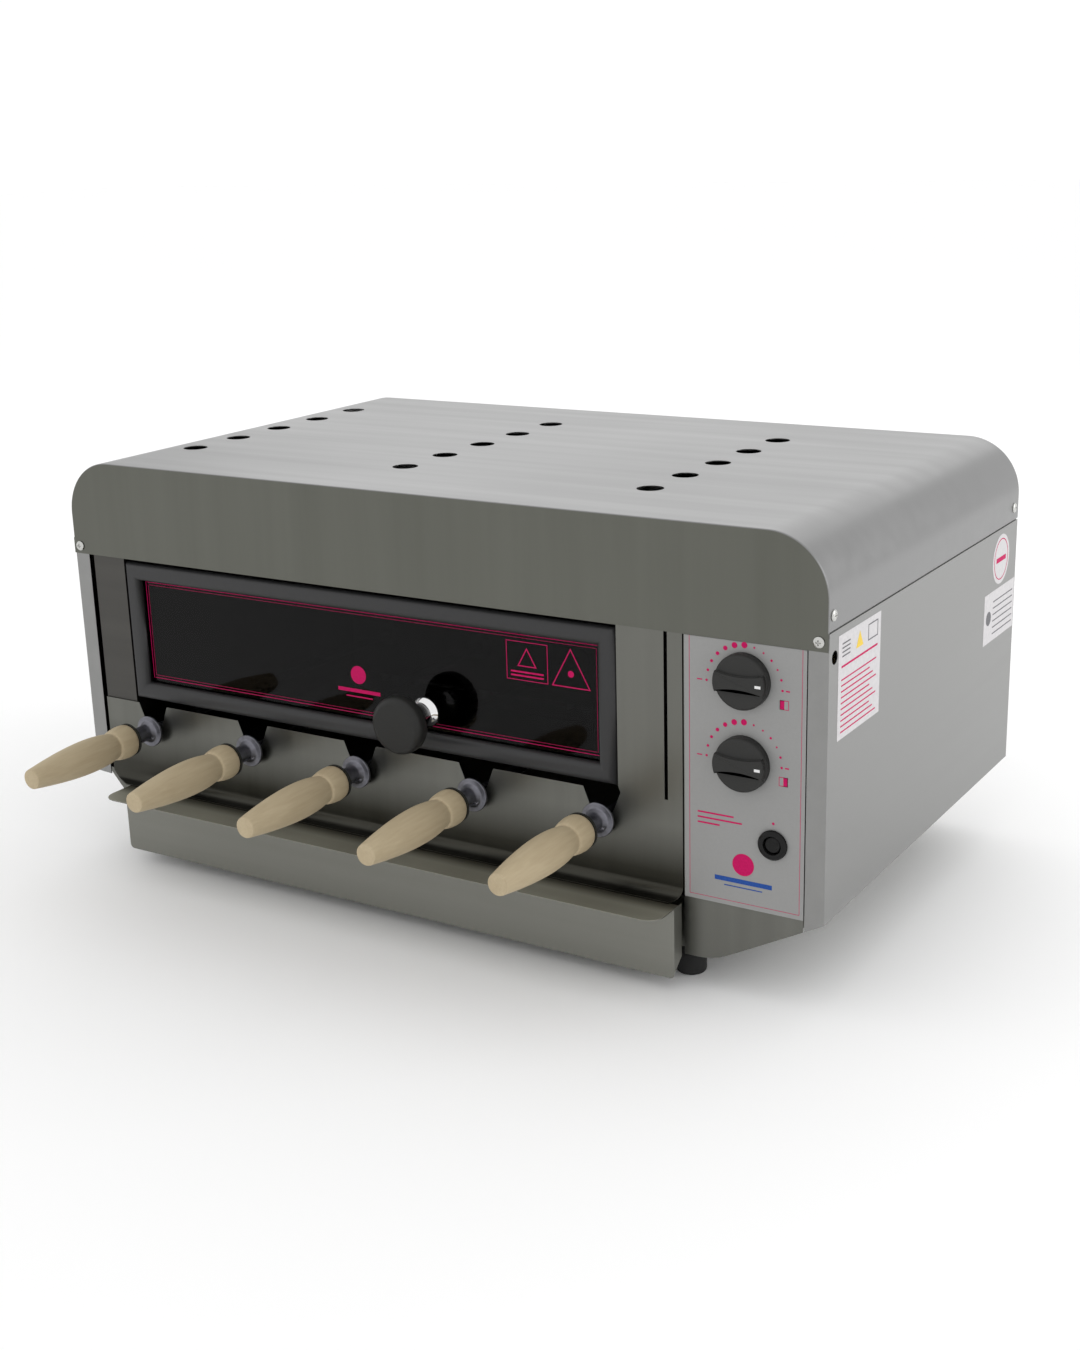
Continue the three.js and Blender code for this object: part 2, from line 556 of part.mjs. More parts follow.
// welded base: two channels along the sides of the drawer, tied by walls front and rear
function baseFrame() {
  const frontY = 12;
  const rearY = rearPanelY + SHEET;
  const outer = halfWidth - SHEET - GAP;
  const rightInner = trayCentreX + trayWidth / 2 + TRAY_SIDE_GAP;
  const leftInner = trayCentreX - trayWidth / 2 - TRAY_SIDE_GAP;
  const wallTop = APRON_LIP_HEIGHT - 3;
  const railTop = Math.min(wallTop, SKEWER_AXIS_HEIGHT - gearTipRadius - 2);
  const right = undersidePoints(outer, rightInner);
  const rightInside = right.slice(1, -1).map(([x, z]) => [x - 0.3 * SHEET, z + SHEET]).reverse();
  const rightChannel = alongY(outline([
    ...right,
    [rightInner, railTop],
    [rightInner + SHEET, railTop],
    [rightInner + SHEET, BODY_BOTTOM_HEIGHT + SHEET],
    ...rightInside,
    [outer, SIDE_BOTTOM_HEIGHT + 1.2 * SHEET],
  ]), frontY, rearY);
  const leftFlat = leftInner - 2 * FOOT_RADIUS - 2;
  const leftChannel = alongY(outline([
    [-outer, SIDE_BOTTOM_HEIGHT],
    [leftFlat, BODY_BOTTOM_HEIGHT],
    [leftInner, BODY_BOTTOM_HEIGHT],
    [leftInner, railTop],
    [leftInner - SHEET, railTop],
    [leftInner - SHEET, BODY_BOTTOM_HEIGHT + SHEET],
    [leftFlat, BODY_BOTTOM_HEIGHT + SHEET],
    [-outer, SIDE_BOTTOM_HEIGHT + 1.5 * SHEET],
  ]), frontY, rearY);
  const rightWall = alongY(outline([
    ...right, [rightInner, wallTop], [outer, wallTop + 6],
  ]), frontY, frontY + SHEET);
  const rearWall = alongY(outline([
    ...right.slice(0, -1),
    [leftFlat, BODY_BOTTOM_HEIGHT],
    [-outer, SIDE_BOTTOM_HEIGHT],
  ]), rearY - SHEET, rearY);
  const leftWall = alongY(outline([
    [-outer, SIDE_BOTTOM_HEIGHT], [leftFlat, BODY_BOTTOM_HEIGHT], [leftInner, BODY_BOTTOM_HEIGHT],
    [leftInner, wallTop], [-outer, wallTop + 6],
  ]), frontY, frontY + SHEET);
  const tie = block(leftInner - SHEET, rightInner + SHEET, rearY - 20, rearY, railTop - SHEET, railTop);
  const driveFloor = block(leftInner - SHEET, rightInner + SHEET, TRAY_DEPTH + TRAY_SIDE_GAP, rearY,
    BODY_BOTTOM_HEIGHT, BODY_BOTTOM_HEIGHT + SHEET);
  return joined(rightChannel, leftChannel, rightWall, leftWall, rearWall, tie, driveFloor);
}

function foot() {
  const height = BODY_BOTTOM_HEIGHT - GAP;
  return turned([
    [0, 0], [FOOT_RADIUS - 1.5, 0], [FOOT_RADIUS, 2], [FOOT_RADIUS, height - 8],
    [FOOT_RADIUS - 2, height - 6], [FOOT_RADIUS - 2, height], [0, height],
  ]).rotateX(Math.PI / 2);
}

// screw with a domed head; the head stands on Y = 0 and points towards -Y
function domedScrew(grip) {
  return turned([
    [0, -SCREW_HEAD_HEIGHT], [SCREW_HEAD_RADIUS * 0.55, -SCREW_HEAD_HEIGHT * 0.85],
    [SCREW_HEAD_RADIUS, -GAP - 0.3], [SCREW_HEAD_RADIUS, -GAP],
    [SCREW_SHANK_RADIUS, -GAP], [SCREW_SHANK_RADIUS, grip], [0, grip],
  ], 10);
}

// ---------------------------------------------------------------- cooking chamber

function chamberWall(x0, x1) {
  return block(x0, x1, layerY(3) + 0.6, chamberRearY - GAP, CHAMBER_FLOOR_HEIGHT, shelfZ - GAP);
}

const driveLeftX = -halfWidth + 10;
const driveRightX = chamberRightX + drivePlateReach;

function skewerHoles(radius) {
  const places = Array.from({ length: SKEWER_COUNT }, (_, k) => skewerX(k));
  return places.map((x) => circlePoints(x, SKEWER_AXIS_HEIGHT, radius, 16));
}

function chamberRearWall() {
  const pivot = circlePoints(motorX, motorZ, PINION_PIVOT_RADIUS + 0.4, 12);
  return plateAlongY(rectanglePoints(driveLeftX, driveRightX, CHAMBER_FLOOR_HEIGHT, shelfZ - GAP),
    [...skewerHoles(GEAR_HUB_RADIUS + 0.4), pivot], chamberRearY, chamberRearY + DRIVE_PLATE);
}

function gearRetainer() {
  const shaft = circlePoints(motorX, motorZ, SPINDLE_RADIUS + 0.9, 12);
  const top = motorZ + MOTOR_RADIUS + 6;
  const bottom = SKEWER_AXIS_HEIGHT - 30;
  return plateAlongY(rectanglePoints(driveLeftX, driveRightX, bottom, top),
    [...skewerHoles(GEAR_BOSS_RADIUS + 0.4), shaft], retainerY, retainerY + DRIVE_PLATE);
}

function burnerShelf() {
  const windows = [0, 1].map((k) => block(
    burnerX(k) - BURNER_WIDTH / 2 + BURNER_RIM,
    burnerX(k) + BURNER_WIDTH / 2 - BURNER_RIM,
    burnerY - BURNER_LENGTH / 2 + BURNER_RIM,
    burnerY + BURNER_LENGTH / 2 - BURNER_RIM,
    shelfZ - 1,
    shelfZ + 2 * SHEET,
  ));
  const leftX = chamberLeftX - SHEET;
  const rightX = chamberRightX + SHEET;
  const plate = block(leftX, rightX, SHELF_FRONT_Y, chamberRearY - GAP, shelfZ, shelfZ + SHEET);
  const upstand = block(leftX, rightX, SHELF_FRONT_Y, SHELF_FRONT_Y + SHEET, shelfZ, shelfZ + 25);
  return cut(joined(plate, upstand), ...windows);
}

// ---------------------------------------------------------------- burners and gas line

const burnerFeedY = chamberRearY - 10;
const burnerPortZ = (index) => burnerBottomZ + 26 - 14 * index;

function burnerHousing(index) {
  const half = BURNER_WIDTH / 2;
  const reach = BURNER_LENGTH / 2;
  const x = burnerX(index);
  const top = burnerBottomZ + BURNER_HEIGHT;
  const shell = cut(
    block(x - half, x + half, burnerY - reach, burnerY + reach, burnerBottomZ, top),
    block(x - half + BURNER_WALL, x + half - BURNER_WALL, burnerY - reach + BURNER_WALL,
      burnerY + reach - BURNER_WALL, burnerBottomZ - 1, top - BURNER_WALL),
  );
  const port = rodAlongY(x, burnerPortZ(index), 7.5, burnerY + reach - 1, burnerY + reach + PORT_LENGTH);
  const jet = rodAlongY(x, burnerPortZ(index), 3, burnerY + reach - 3, burnerY + reach + 8, 8);
  return cut(joined(shell, port), jet);
}

function burnerTile() {
  const half = BURNER_WIDTH / 2 - BURNER_WALL - 0.5;
  const reach = BURNER_LENGTH / 2 - BURNER_WALL - 0.5;
  return new THREE.BoxGeometry(2 * half, 2 * reach, TILE_THICKNESS);
}

function burnerPipe(index) {
  const x = burnerX(index);
  const z = burnerPortZ(index);
  const endY = burnerY + BURNER_LENGTH / 2 + PORT_LENGTH + GAP;
  const columnX = dialX - 30 * index;
  const startZ = dialZ(index);
  const start = index === 0
    ? [[dialX, 30, startZ + 15 + GAP], [dialX, 31, startZ + 30]]
    : [[dialX - 11 - GAP, 30, startZ], [dialX - 17, 30, startZ], [columnX, 34, startZ + 14]];
  return wireThrough([
    ...start,
    [columnX, 70, z],
    [columnX, burnerFeedY - 45, z],
    [columnX - 14, burnerFeedY - 6, z],
    [columnX - 50, burnerFeedY, z],
    [x + 18, burnerFeedY, z],
    [x + 3, burnerFeedY - 3, z],
    [x, endY + 4, z],
    [x, endY, z],
  ], PIPE_RADIUS, 30);
}

// valve body with a nose towards the panel and a blind bore for the dial spindle
function gasValve() {
  const casing = joined(block(-11, 11, 12, manifoldY - 7 - GAP, -15, 15), rodAlongY(0, 0, 9, 4, 13));
  return cut(casing, rodAlongY(0, 0, SPINDLE_RADIUS + GAP, 3, 24));
}

function gasManifold() {
  const top = dialZ(0) + 18;
  const bottom = dialZ(1) - 18;
  return rodAlongZ(dialX, manifoldY, 7, bottom, top, 12);
}

// pipe from the manifold through the rear panel, ending in a hose nozzle
function gasInlet() {
  const start = manifoldY + 7 + GAP;
  return turned([
    [0, start], [INLET_RADIUS, start], [INLET_RADIUS, BODY_DEPTH - 6], [7, BODY_DEPTH - 6],
    [7, BODY_DEPTH + GAP], [INLET_NUT_RADIUS, BODY_DEPTH + GAP],
    [INLET_NUT_RADIUS, BODY_DEPTH + 7], [5.5, BODY_DEPTH + 7],
    [5.5, BODY_DEPTH + 12], [6.8, BODY_DEPTH + 13], [5.5, BODY_DEPTH + 18],
    [5.5, BODY_DEPTH + INLET_REACH], [0, BODY_DEPTH + INLET_REACH],
  ], 12);
}

// bushing for the motor's mains lead, with a clear bore through it
function cordGland() {
  const inner = rearPanelY - 6;
  const face = rearPanelY + SHEET + GAP;
  return cut(turned([
    [0, inner], [GLAND_RADIUS, inner], [GLAND_RADIUS, face], [GLAND_RADIUS + 3, face],
    [GLAND_RADIUS + 3, face + 3], [GLAND_RADIUS - 1, face + 9], [0, face + 9],
  ]), rodAlongY(0, 0, GLAND_BORE_RADIUS, inner - 1, face + 10));
}

// ---------------------------------------------------------------- controls

function dial() {
  const backY = layerY(1) - LABEL_THICKNESS - 2 * GAP;
  const faceY = backY - DIAL_SKIRT;
  const skirt = turned([
    [0, faceY], [DIAL_RADIUS - 3, faceY], [DIAL_RADIUS - 1, faceY + 1.2], [DIAL_RADIUS, faceY + 3.2],
    [DIAL_RADIUS, backY], [SPINDLE_RADIUS, backY], [SPINDLE_RADIUS, 22], [0, 22],
  ], 24);
  const grip = alongY(outline([
    ...arcPoints(DIAL_RADIUS - 5, 0, 4.5, -90, 90, 4),
    ...arcPoints(-DIAL_RADIUS + 5, 0, 4.5, 90, 270, 4),
  ]), faceY - DIAL_GRIP, faceY + 1);
  return joined(skirt, grip);
}

function igniterBody() {
  const backY = layerY(1) - LABEL_THICKNESS - 2 * GAP;
  const boreEnd = backY + 6.3 + BUTTON_TRAVEL + 2;
  return cut(turned([
    [0, backY - 3], [IGNITER_RADIUS - 1.2, backY - 3], [IGNITER_RADIUS, backY - 1.8], [IGNITER_RADIUS, backY],
    [8, backY], [8, 42], [0, 42],
  ], 18), rodAlongY(0, 0, BUTTON_RADIUS + 0.4, backY - 4, boreEnd, 14));
}

function igniterButton() {
  const frontY = layerY(1) - LABEL_THICKNESS - 2 * GAP - 1;
  return turned([
    [0, frontY + 0.8], [BUTTON_RADIUS - 2.5, frontY + 0.4], [BUTTON_RADIUS - 0.8, frontY],
    [BUTTON_RADIUS, frontY + 0.8], [BUTTON_RADIUS, frontY + 7.3], [0, frontY + 7.3],
  ], 14);
}

// ---------------------------------------------------------------- door

function doorFrame() {
  const inner = rectanglePoints(doorLeftX + DOOR_BAR, doorRightX - DOOR_BAR,
    doorBottomZ + DOOR_BAR, doorTopZ - DOOR_BAR + 1);
  const outer = rectanglePoints(doorLeftX, doorRightX, doorBottomZ, doorTopZ);
  const front = alongY(withHoles(outer, [inner]), DOOR_BEVEL, GLASS_REBATE - GAP - DOOR_BEVEL, {
    bevelEnabled: true,
    bevelThickness: DOOR_BEVEL,
    bevelSize: DOOR_BEVEL,
    bevelOffset: -DOOR_BEVEL,
    bevelSegments: 2,
  });
  const seat = rectanglePoints(doorLeftX + 6, doorRightX - 6, doorBottomZ + 6, doorTopZ - 6);
  const rim = rectanglePoints(doorLeftX + 1, doorRightX - 1, doorBottomZ + 1, doorTopZ - 1);
  const back = alongY(withHoles(rim, [seat]), GLASS_REBATE - GAP - DOOR_BEVEL - 0.5, DOOR_DEPTH);
  const pins = [
    rodAlongX(HINGE_DEPTH, hingeZ, HINGE_PIN_RADIUS, doorLeftX - 6, doorLeftX + 4, 16),
    rodAlongX(HINGE_DEPTH, hingeZ, HINGE_PIN_RADIUS, doorRightX - 4, doorRightX + 9, 16),
  ];
  return joined(front, back, ...pins);
}

function doorGlass() {
  const edge = 6 + 0.5;
  return plateAlongY(
    rectanglePoints(doorLeftX + edge, doorRightX - edge, doorBottomZ + edge, doorTopZ - edge),
    [circlePoints(knobX, knobZ, 3.6, 12)],
    GLASS_REBATE, GLASS_REBATE + GLASS_THICKNESS);
}

// knob, flared neck, screw through the glass and its nut, turned about the Y axis
function doorKnob() {
  const seatY = GLASS_REBATE - GAP;
  const nutY = GLASS_REBATE + GLASS_THICKNESS + GAP;
  return turned([
    [0, -KNOB_REACH], [KNOB_RADIUS - 4, -KNOB_REACH + 0.4], [KNOB_RADIUS - 0.8, -KNOB_REACH + 2.6],
    [KNOB_RADIUS, -KNOB_REACH + 5], [KNOB_RADIUS, -KNOB_REACH + 11], [KNOB_RADIUS - 2, -KNOB_REACH + 13.5],
    [8.5, -KNOB_REACH + 15], [7, seatY - 12], [8, seatY - 5], [12.5, seatY - 1.5], [12.5, seatY],
    [3, seatY], [3, nutY], [6, nutY], [6, nutY + 4], [0, nutY + 4],
  ], 18);
}

// ---------------------------------------------------------------- drip drawer

function dripTray() {
  const half = trayWidth / 2;
  const faceHalf = half + TRAY_FACE_OVERHANG;
  const x0 = trayCentreX - half;
  const x1 = trayCentreX + half;
  const bottom = TRAY_BOTTOM_HEIGHT + 3;
  const rimZ = bottom + TRAY_WALL_HEIGHT - 4;
  const pan = cut(
    block(x0, x1, -TRAY_FACE_REACH, TRAY_DEPTH, bottom, rimZ),
    block(x0 + SHEET, x1 - SHEET, -TRAY_FACE_REACH + SHEET, TRAY_DEPTH - SHEET, bottom + SHEET, rimZ + 1),
  );
  const face = alongY(outline([
    ...arcPoints(trayCentreX + faceHalf - 4, TRAY_BOTTOM_HEIGHT + 4, 4, -90, 0, 3),
    [trayCentreX + faceHalf, trayLipTopZ],
    [trayCentreX - faceHalf, trayLipTopZ],
    ...arcPoints(trayCentreX - faceHalf + 4, TRAY_BOTTOM_HEIGHT + 4, 4, 180, 270, 3),
  ]), -TRAY_FACE_REACH, -TRAY_FACE_REACH + SHEET);
  const lip = alongZ(outline([
    [trayCentreX - faceHalf, -APRON_LIP_REACH + 2],
    ...arcPoints(trayCentreX - faceHalf + TRAY_CORNER_RADIUS, -TRAY_LIP_REACH + TRAY_CORNER_RADIUS,
      TRAY_CORNER_RADIUS, 180, 270, 4),
    ...arcPoints(trayCentreX + faceHalf - TRAY_CORNER_RADIUS, -TRAY_LIP_REACH + TRAY_CORNER_RADIUS,
      TRAY_CORNER_RADIUS, 270, 360, 4),
    [trayCentreX + faceHalf, -APRON_LIP_REACH + 2],
  ]), trayLipTopZ - SHEET, trayLipTopZ);
  const returns = [-1, 1].map((side) => {
    const x = trayCentreX + side * faceHalf;
    return alongX(outline([
      [-TRAY_FACE_REACH, TRAY_BOTTOM_HEIGHT + 4],
      [-TRAY_FACE_REACH + 12, TRAY_BOTTOM_HEIGHT + 14],
      [-TRAY_FACE_REACH + 12, trayLipTopZ - SHEET / 2],
      [-TRAY_FACE_REACH, trayLipTopZ - SHEET / 2],
    ]), Math.min(x, x - side * SHEET), Math.max(x, x - side * SHEET));
  });
  return joined(pan, face, lip, ...returns);
}

// ---------------------------------------------------------------- skewers and drive

// steel rod with its collar disc, hub and ferrule in front of the apron and a square drive end
function skewerRod() {
  const profile = [
    [0, -HANDLE_START - TANG_LENGTH], [TANG_RADIUS, -HANDLE_START - TANG_LENGTH],
    [TANG_RADIUS, -HANDLE_START + GAP], [COLLAR_RADIUS + 0.7, -HANDLE_START + GAP],
    [COLLAR_RADIUS + 0.7, -HANDLE_START + 2.3], [7, -HANDLE_START + 3.3], [9, -9], [9.5, -6.5],
    [COLLAR_RADIUS, -6.5], [COLLAR_RADIUS, -4], [ROD_RADIUS, -4],
    [ROD_RADIUS, socketY - 1], [0, socketY - 1],
  ];
  const half = ROD_SQUARE / 2;
  const drive = block(-half, half, socketY - 3, gearY + GEAR_FACE, -half, half);
  return joined(turned(profile, 12), drive);
}

// turned wooden grip bored for the tang; the bead by the ferrule, a groove, then the belly
function skewerHandle() {
  const y = (distance) => -HANDLE_START - distance;
  const length = HANDLE_END - HANDLE_START;
  return turned([
    [0, y(length)], [7, y(length)], [8.6, y(length - 1.6)], [10.2, y(length * 0.84)],
    [13, y(length * 0.62)], [14.1, y(length * 0.42)], [13.2, y(length * 0.29)], [11.2, y(20.5)],
    [11.8, y(19)], [HANDLE_RADIUS - 1.2, y(17)], [HANDLE_RADIUS, y(8)],
    [HANDLE_RADIUS - 0.6, y(2)], [HANDLE_RADIUS - 1.6, y(0)], [TANG_RADIUS + GAP, y(0)],
    [TANG_RADIUS + GAP, y(TANG_LENGTH + 1)], [0, y(TANG_LENGTH + 1)],
  ]);
}

// spur gear outline, straight chords across involute flanks, one tooth centred on the direction
function gearPoints(teeth, direction) {
  const pitchRadius = gearModule * teeth / 2;
  const baseRadius = pitchRadius * Math.cos(THREE.MathUtils.degToRad(PRESSURE_ANGLE));
  const rootRadius = pitchRadius - TOOTH_DEDENDUM * gearModule;
  const tipRadius = pitchRadius + TOOTH_ADDENDUM * gearModule;
  const involute = (radius) => {
    const angle = Math.acos(Math.min(1, baseRadius / radius));
    return Math.tan(angle) - angle;
  };
  const halfAngle = (radius) => {
    const atPitch = Math.PI / 2 / teeth - BACKLASH / 4 / pitchRadius;
    return atPitch + involute(pitchRadius) - involute(Math.max(radius, baseRadius));
  };
  const radii = [rootRadius, tipRadius];
  const points = [];
  for (let k = 0; k < teeth; k += 1) {
    const centre = direction + k / teeth * 2 * Math.PI;
    for (const r of radii) points.push([r, centre - halfAngle(r)]);
    for (const r of [...radii].reverse()) points.push([r, centre + halfAngle(r)]);
  }
  return points.map(([r, angle]) => [r * Math.cos(angle), r * Math.sin(angle)]);
}

function driveGear(index) {
  const halfTooth = Math.PI / GEAR_TEETH;
  const wheel = alongY(outline(gearPoints(GEAR_TEETH, index % 2 ? halfTooth : 0)), gearY, gearY + GEAR_FACE);
  const hub = rodAlongY(0, 0, GEAR_HUB_RADIUS, socketY, gearY + 1, 16);
  const boss = rodAlongY(0, 0, GEAR_BOSS_RADIUS, gearY + GEAR_FACE - 1, retainerY + 3, 12);
  const half = ROD_SQUARE / 2 + 0.4;
  const socket = block(-half, half, socketY - 1, retainerY + 4, -half, half);
  return cut(joined(wheel, hub, boss), socket);
}

function motorPinion() {
  const lastTooth = (SKEWER_COUNT - 1) % 2 ? Math.PI / GEAR_TEETH : 0;
  const meshShare = (motorAngle - lastTooth) / (2 * Math.PI / GEAR_TEETH) % 1;
  const direction = motorAngle + Math.PI + (0.5 + meshShare) * 2 * Math.PI / PINION_TEETH;
  const wheel = alongY(outline(gearPoints(PINION_TEETH, direction)), gearY, gearY + GEAR_FACE);
  return joined(wheel, rodAlongY(0, 0, PINION_PIVOT_RADIUS, chamberRearY + GAP, gearY + 1),
    rodAlongY(0, 0, SPINDLE_RADIUS, gearY + GEAR_FACE - 1, retainerY + 8));
}

function gearmotor() {
  const start = retainerY + DRIVE_PLATE + GAP;
  return cut(
    rodAlongY(0, 0, MOTOR_RADIUS, start, start + MOTOR_LENGTH - 3, 18),
    rodAlongY(0, 0, SPINDLE_RADIUS + GAP, start - 1, retainerY + 10),
  );
}

// ---------------------------------------------------------------- assembly

place('hood', hood(), 'steel');
place('hood_front', hoodFront(), 'steel');
place('left_side_panel', sidePanel(-1), 'steel');
place('right_side_panel', sidePanel(1), 'steel');
place('rear_panel', rearPanel(), 'steel');
place('front_panel', frontPanel(), 'steel');
place('control_panel', controlPanel(), 'steel');
place('control_label', controlLabel(), 'label');
place('left_jamb', jamb(-1), 'darkSteel');
place('right_jamb', jamb(1), 'darkSteel');
place('base_frame', baseFrame(), 'steel');

const footRightX = trayCentreX + trayWidth / 2 + TRAY_SIDE_GAP + FOOT_RADIUS - 1;
const footLeftX = trayCentreX - trayWidth / 2 - TRAY_SIDE_GAP - FOOT_RADIUS - 1;
for (const [name, x, y] of [
  ['front_left_foot', footLeftX, FOOT_INSET],
  ['front_right_foot', footRightX, FOOT_INSET],
  ['rear_left_foot', footLeftX, BODY_DEPTH - FOOT_INSET],
  ['rear_right_foot', footRightX, BODY_DEPTH - FOOT_INSET],
]) place(name, foot(), 'rubber', x, y, 0);

for (const [label, side] of [['left', -1], ['right', 1]]) {
  place(`${label}_fascia_screw`, domedScrew(layerY(1) + 3), 'steel', side * fasciaScrewX, 0, fasciaScrewZ);
  place(`${label}_hood_screw`, domedScrew(3).rotateZ(side * Math.PI / 2), 'steel',
    side * halfWidth, SKIRT_SCREW_INSET, skirtScrewZ);
}

place('chamber_left_wall', chamberWall(chamberLeftX - SHEET, chamberLeftX), 'darkSteel');
place('chamber_right_wall', chamberWall(chamberRightX, chamberRightX + SHEET), 'darkSteel');
place('chamber_rear_wall', chamberRearWall(), 'darkSteel');
place('gear_retainer_plate', gearRetainer(), 'darkSteel');
place('burner_shelf', burnerShelf(), 'darkSteel');
for (const [index, label] of ['left', 'right'].entries()) {
  place(`${label}_burner_housing`, burnerHousing(index), 'darkSteel');
  place(`${label}_burner_tile`, burnerTile(), 'ceramic',
    burnerX(index), burnerY, burnerBottomZ + TILE_THICKNESS / 2 + GAP / 2);
}
for (const [index, label] of ['upper', 'lower'].entries()) {
  place(`${label}_gas_valve`, gasValve(), 'brass', dialX, 0, dialZ(index));
  place(`${label}_burner_pipe`, burnerPipe(index), 'steel');
  place(`${label}_dial`, dial(), 'plastic', dialX, 0, dialZ(index));
}
place('gas_manifold', gasManifold(), 'brass');
place('gas_inlet', gasInlet(), 'brass', dialX, 0, inletZ);
place('cord_gland', cordGland(), 'plastic', halfWidth - GLAND_OFFSET, 0, GLAND_HEIGHT);
place('igniter_body', igniterBody(), 'plastic', igniterX, 0, igniterZ);
place('igniter_button', igniterButton(), 'plastic', igniterX, 0, igniterZ);

place('door_frame', doorFrame(), 'blackEnamel');
place('door_glass', doorGlass(), 'glass');
place('door_knob', doorKnob(), 'plastic', knobX, 0, knobZ);
place('drip_tray', dripTray(), 'steel');

for (let k = 0; k < SKEWER_COUNT; k += 1) {
  const x = skewerX(k);
  place(`skewer_${k + 1}_rod`, skewerRod(), 'zinc', x, 0, SKEWER_AXIS_HEIGHT);
  place(`skewer_${k + 1}_handle`, skewerHandle(), 'wood', x, 0, SKEWER_AXIS_HEIGHT);
  place(`drive_gear_${k + 1}`, driveGear(k), 'gearSteel', x, 0, SKEWER_AXIS_HEIGHT);
}
place('motor_pinion', motorPinion(), 'gearSteel', motorX, 0, motorZ);
place('gearmotor', gearmotor(), 'darkSteel', motorX, 0, motorZ);

body.position.y = -originY;
const rotisserieOven = new THREE.Group();
rotisserieOven.add(body);

export default rotisserieOven;
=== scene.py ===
import math

import bmesh
import bpy
from mathutils import Matrix, Vector, geometry


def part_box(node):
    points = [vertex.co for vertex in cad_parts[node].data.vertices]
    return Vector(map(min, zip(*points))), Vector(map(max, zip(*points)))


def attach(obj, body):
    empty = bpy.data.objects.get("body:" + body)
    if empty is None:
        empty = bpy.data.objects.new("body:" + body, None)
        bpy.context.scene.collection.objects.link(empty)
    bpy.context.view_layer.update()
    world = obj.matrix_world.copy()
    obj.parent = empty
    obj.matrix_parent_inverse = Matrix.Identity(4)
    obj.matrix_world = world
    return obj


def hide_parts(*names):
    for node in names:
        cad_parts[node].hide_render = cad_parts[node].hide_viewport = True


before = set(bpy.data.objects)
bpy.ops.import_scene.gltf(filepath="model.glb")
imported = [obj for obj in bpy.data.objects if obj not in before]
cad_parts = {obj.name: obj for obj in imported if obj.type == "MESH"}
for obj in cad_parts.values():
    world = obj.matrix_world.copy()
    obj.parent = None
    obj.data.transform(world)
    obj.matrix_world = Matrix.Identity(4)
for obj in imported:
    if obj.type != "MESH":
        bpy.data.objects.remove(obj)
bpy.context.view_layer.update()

# ---------------------------------------------------------------- camera
# A long normal lens to the right of the oven and above it, looking down at its front corner,
# with the horizon very slightly off level.
camera_place = Vector((0.8087, -1.2348, 0.6184))
camera_yaw = 0.5615
camera_pitch = 0.2959
camera_roll = -0.0287
camera_lens = 48.55
sensor_width = 36

aim = Vector((-math.sin(camera_yaw) * math.cos(camera_pitch),
              math.cos(camera_yaw) * math.cos(camera_pitch),
              -math.sin(camera_pitch)))
level_right = Vector((math.cos(camera_yaw), math.sin(camera_yaw), 0))
level_up = level_right.cross(aim)
camera_right = math.cos(camera_roll) * level_right + math.sin(camera_roll) * level_up
camera_up = math.cos(camera_roll) * level_up - math.sin(camera_roll) * level_right

camera = bpy.data.objects.new("product_camera", bpy.data.cameras.new("product_camera"))
camera.data.lens = camera_lens
camera.data.sensor_width = sensor_width
camera.matrix_world = Matrix.Translation(camera_place) @ Matrix(
    (camera_right, camera_up, -aim)).transposed().to_4x4()
bpy.context.scene.collection.objects.link(camera)
bpy.context.scene.camera = camera

# ---------------------------------------------------------------- studio
# A pale floor that runs out to a pale surround, and two large soft lamps: a weak one high behind
# the hood and a stronger one to the right.
floor_size = 30
floor_colour = (0.975, 0.975, 0.975, 1)
floor_roughness = 0.7
surround_colour = (1.0, 1.0, 1.0, 1)
surround_strength = 1.03


def clear_selection():
    if bpy.context.object and bpy.context.object.mode != 'OBJECT':
        bpy.ops.object.mode_set(mode='OBJECT')
    bpy.ops.object.select_all(action='DESELECT')


clear_selection()
bpy.ops.mesh.primitive_plane_add(size=floor_size)
floor = bpy.context.object
floor.name = "studio_floor"
floor_finish = bpy.data.materials.new("studio_floor")
floor_finish.use_nodes = True
floor_shader = floor_finish.node_tree.nodes["Principled BSDF"]
floor_shader.inputs["Base Color"].default_value = floor_colour
floor_shader.inputs["Roughness"].default_value = floor_roughness
floor.data.materials.append(floor_finish)

world = bpy.data.worlds.new("studio")
bpy.context.scene.world = world
world.use_nodes = True
world.node_tree.nodes["Background"].inputs["Color"].default_value = surround_colour
world.node_tree.nodes["Background"].inputs["Strength"].default_value = surround_strength
bpy.context.scene.view_settings.view_transform = 'Standard'


def soft_lamp(name, place, target, width, height, power):
    lamp = bpy.data.objects.new(name, bpy.data.lights.new(name, 'AREA'))
    lamp.data.shape = 'RECTANGLE'
    lamp.data.size = width
    lamp.data.size_y = height
    lamp.data.energy = power
    lamp.location = place
    lamp.rotation_mode = 'QUATERNION'
    lamp.rotation_quaternion = (Vector(target) - Vector(place)).to_track_quat('-Z', 'Y')
    bpy.context.scene.collection.objects.link(lamp)


soft_lamp("back_lamp", place=(-0.9, 2.6, 1.5), target=(0, 0, 0.3), width=3.0, height=1.2, power=5)
soft_lamp("right_lamp", place=(2.6, 1.2, 1.2), target=(0.3, 0, 0.2), width=1.6, height=1.6, power=18)

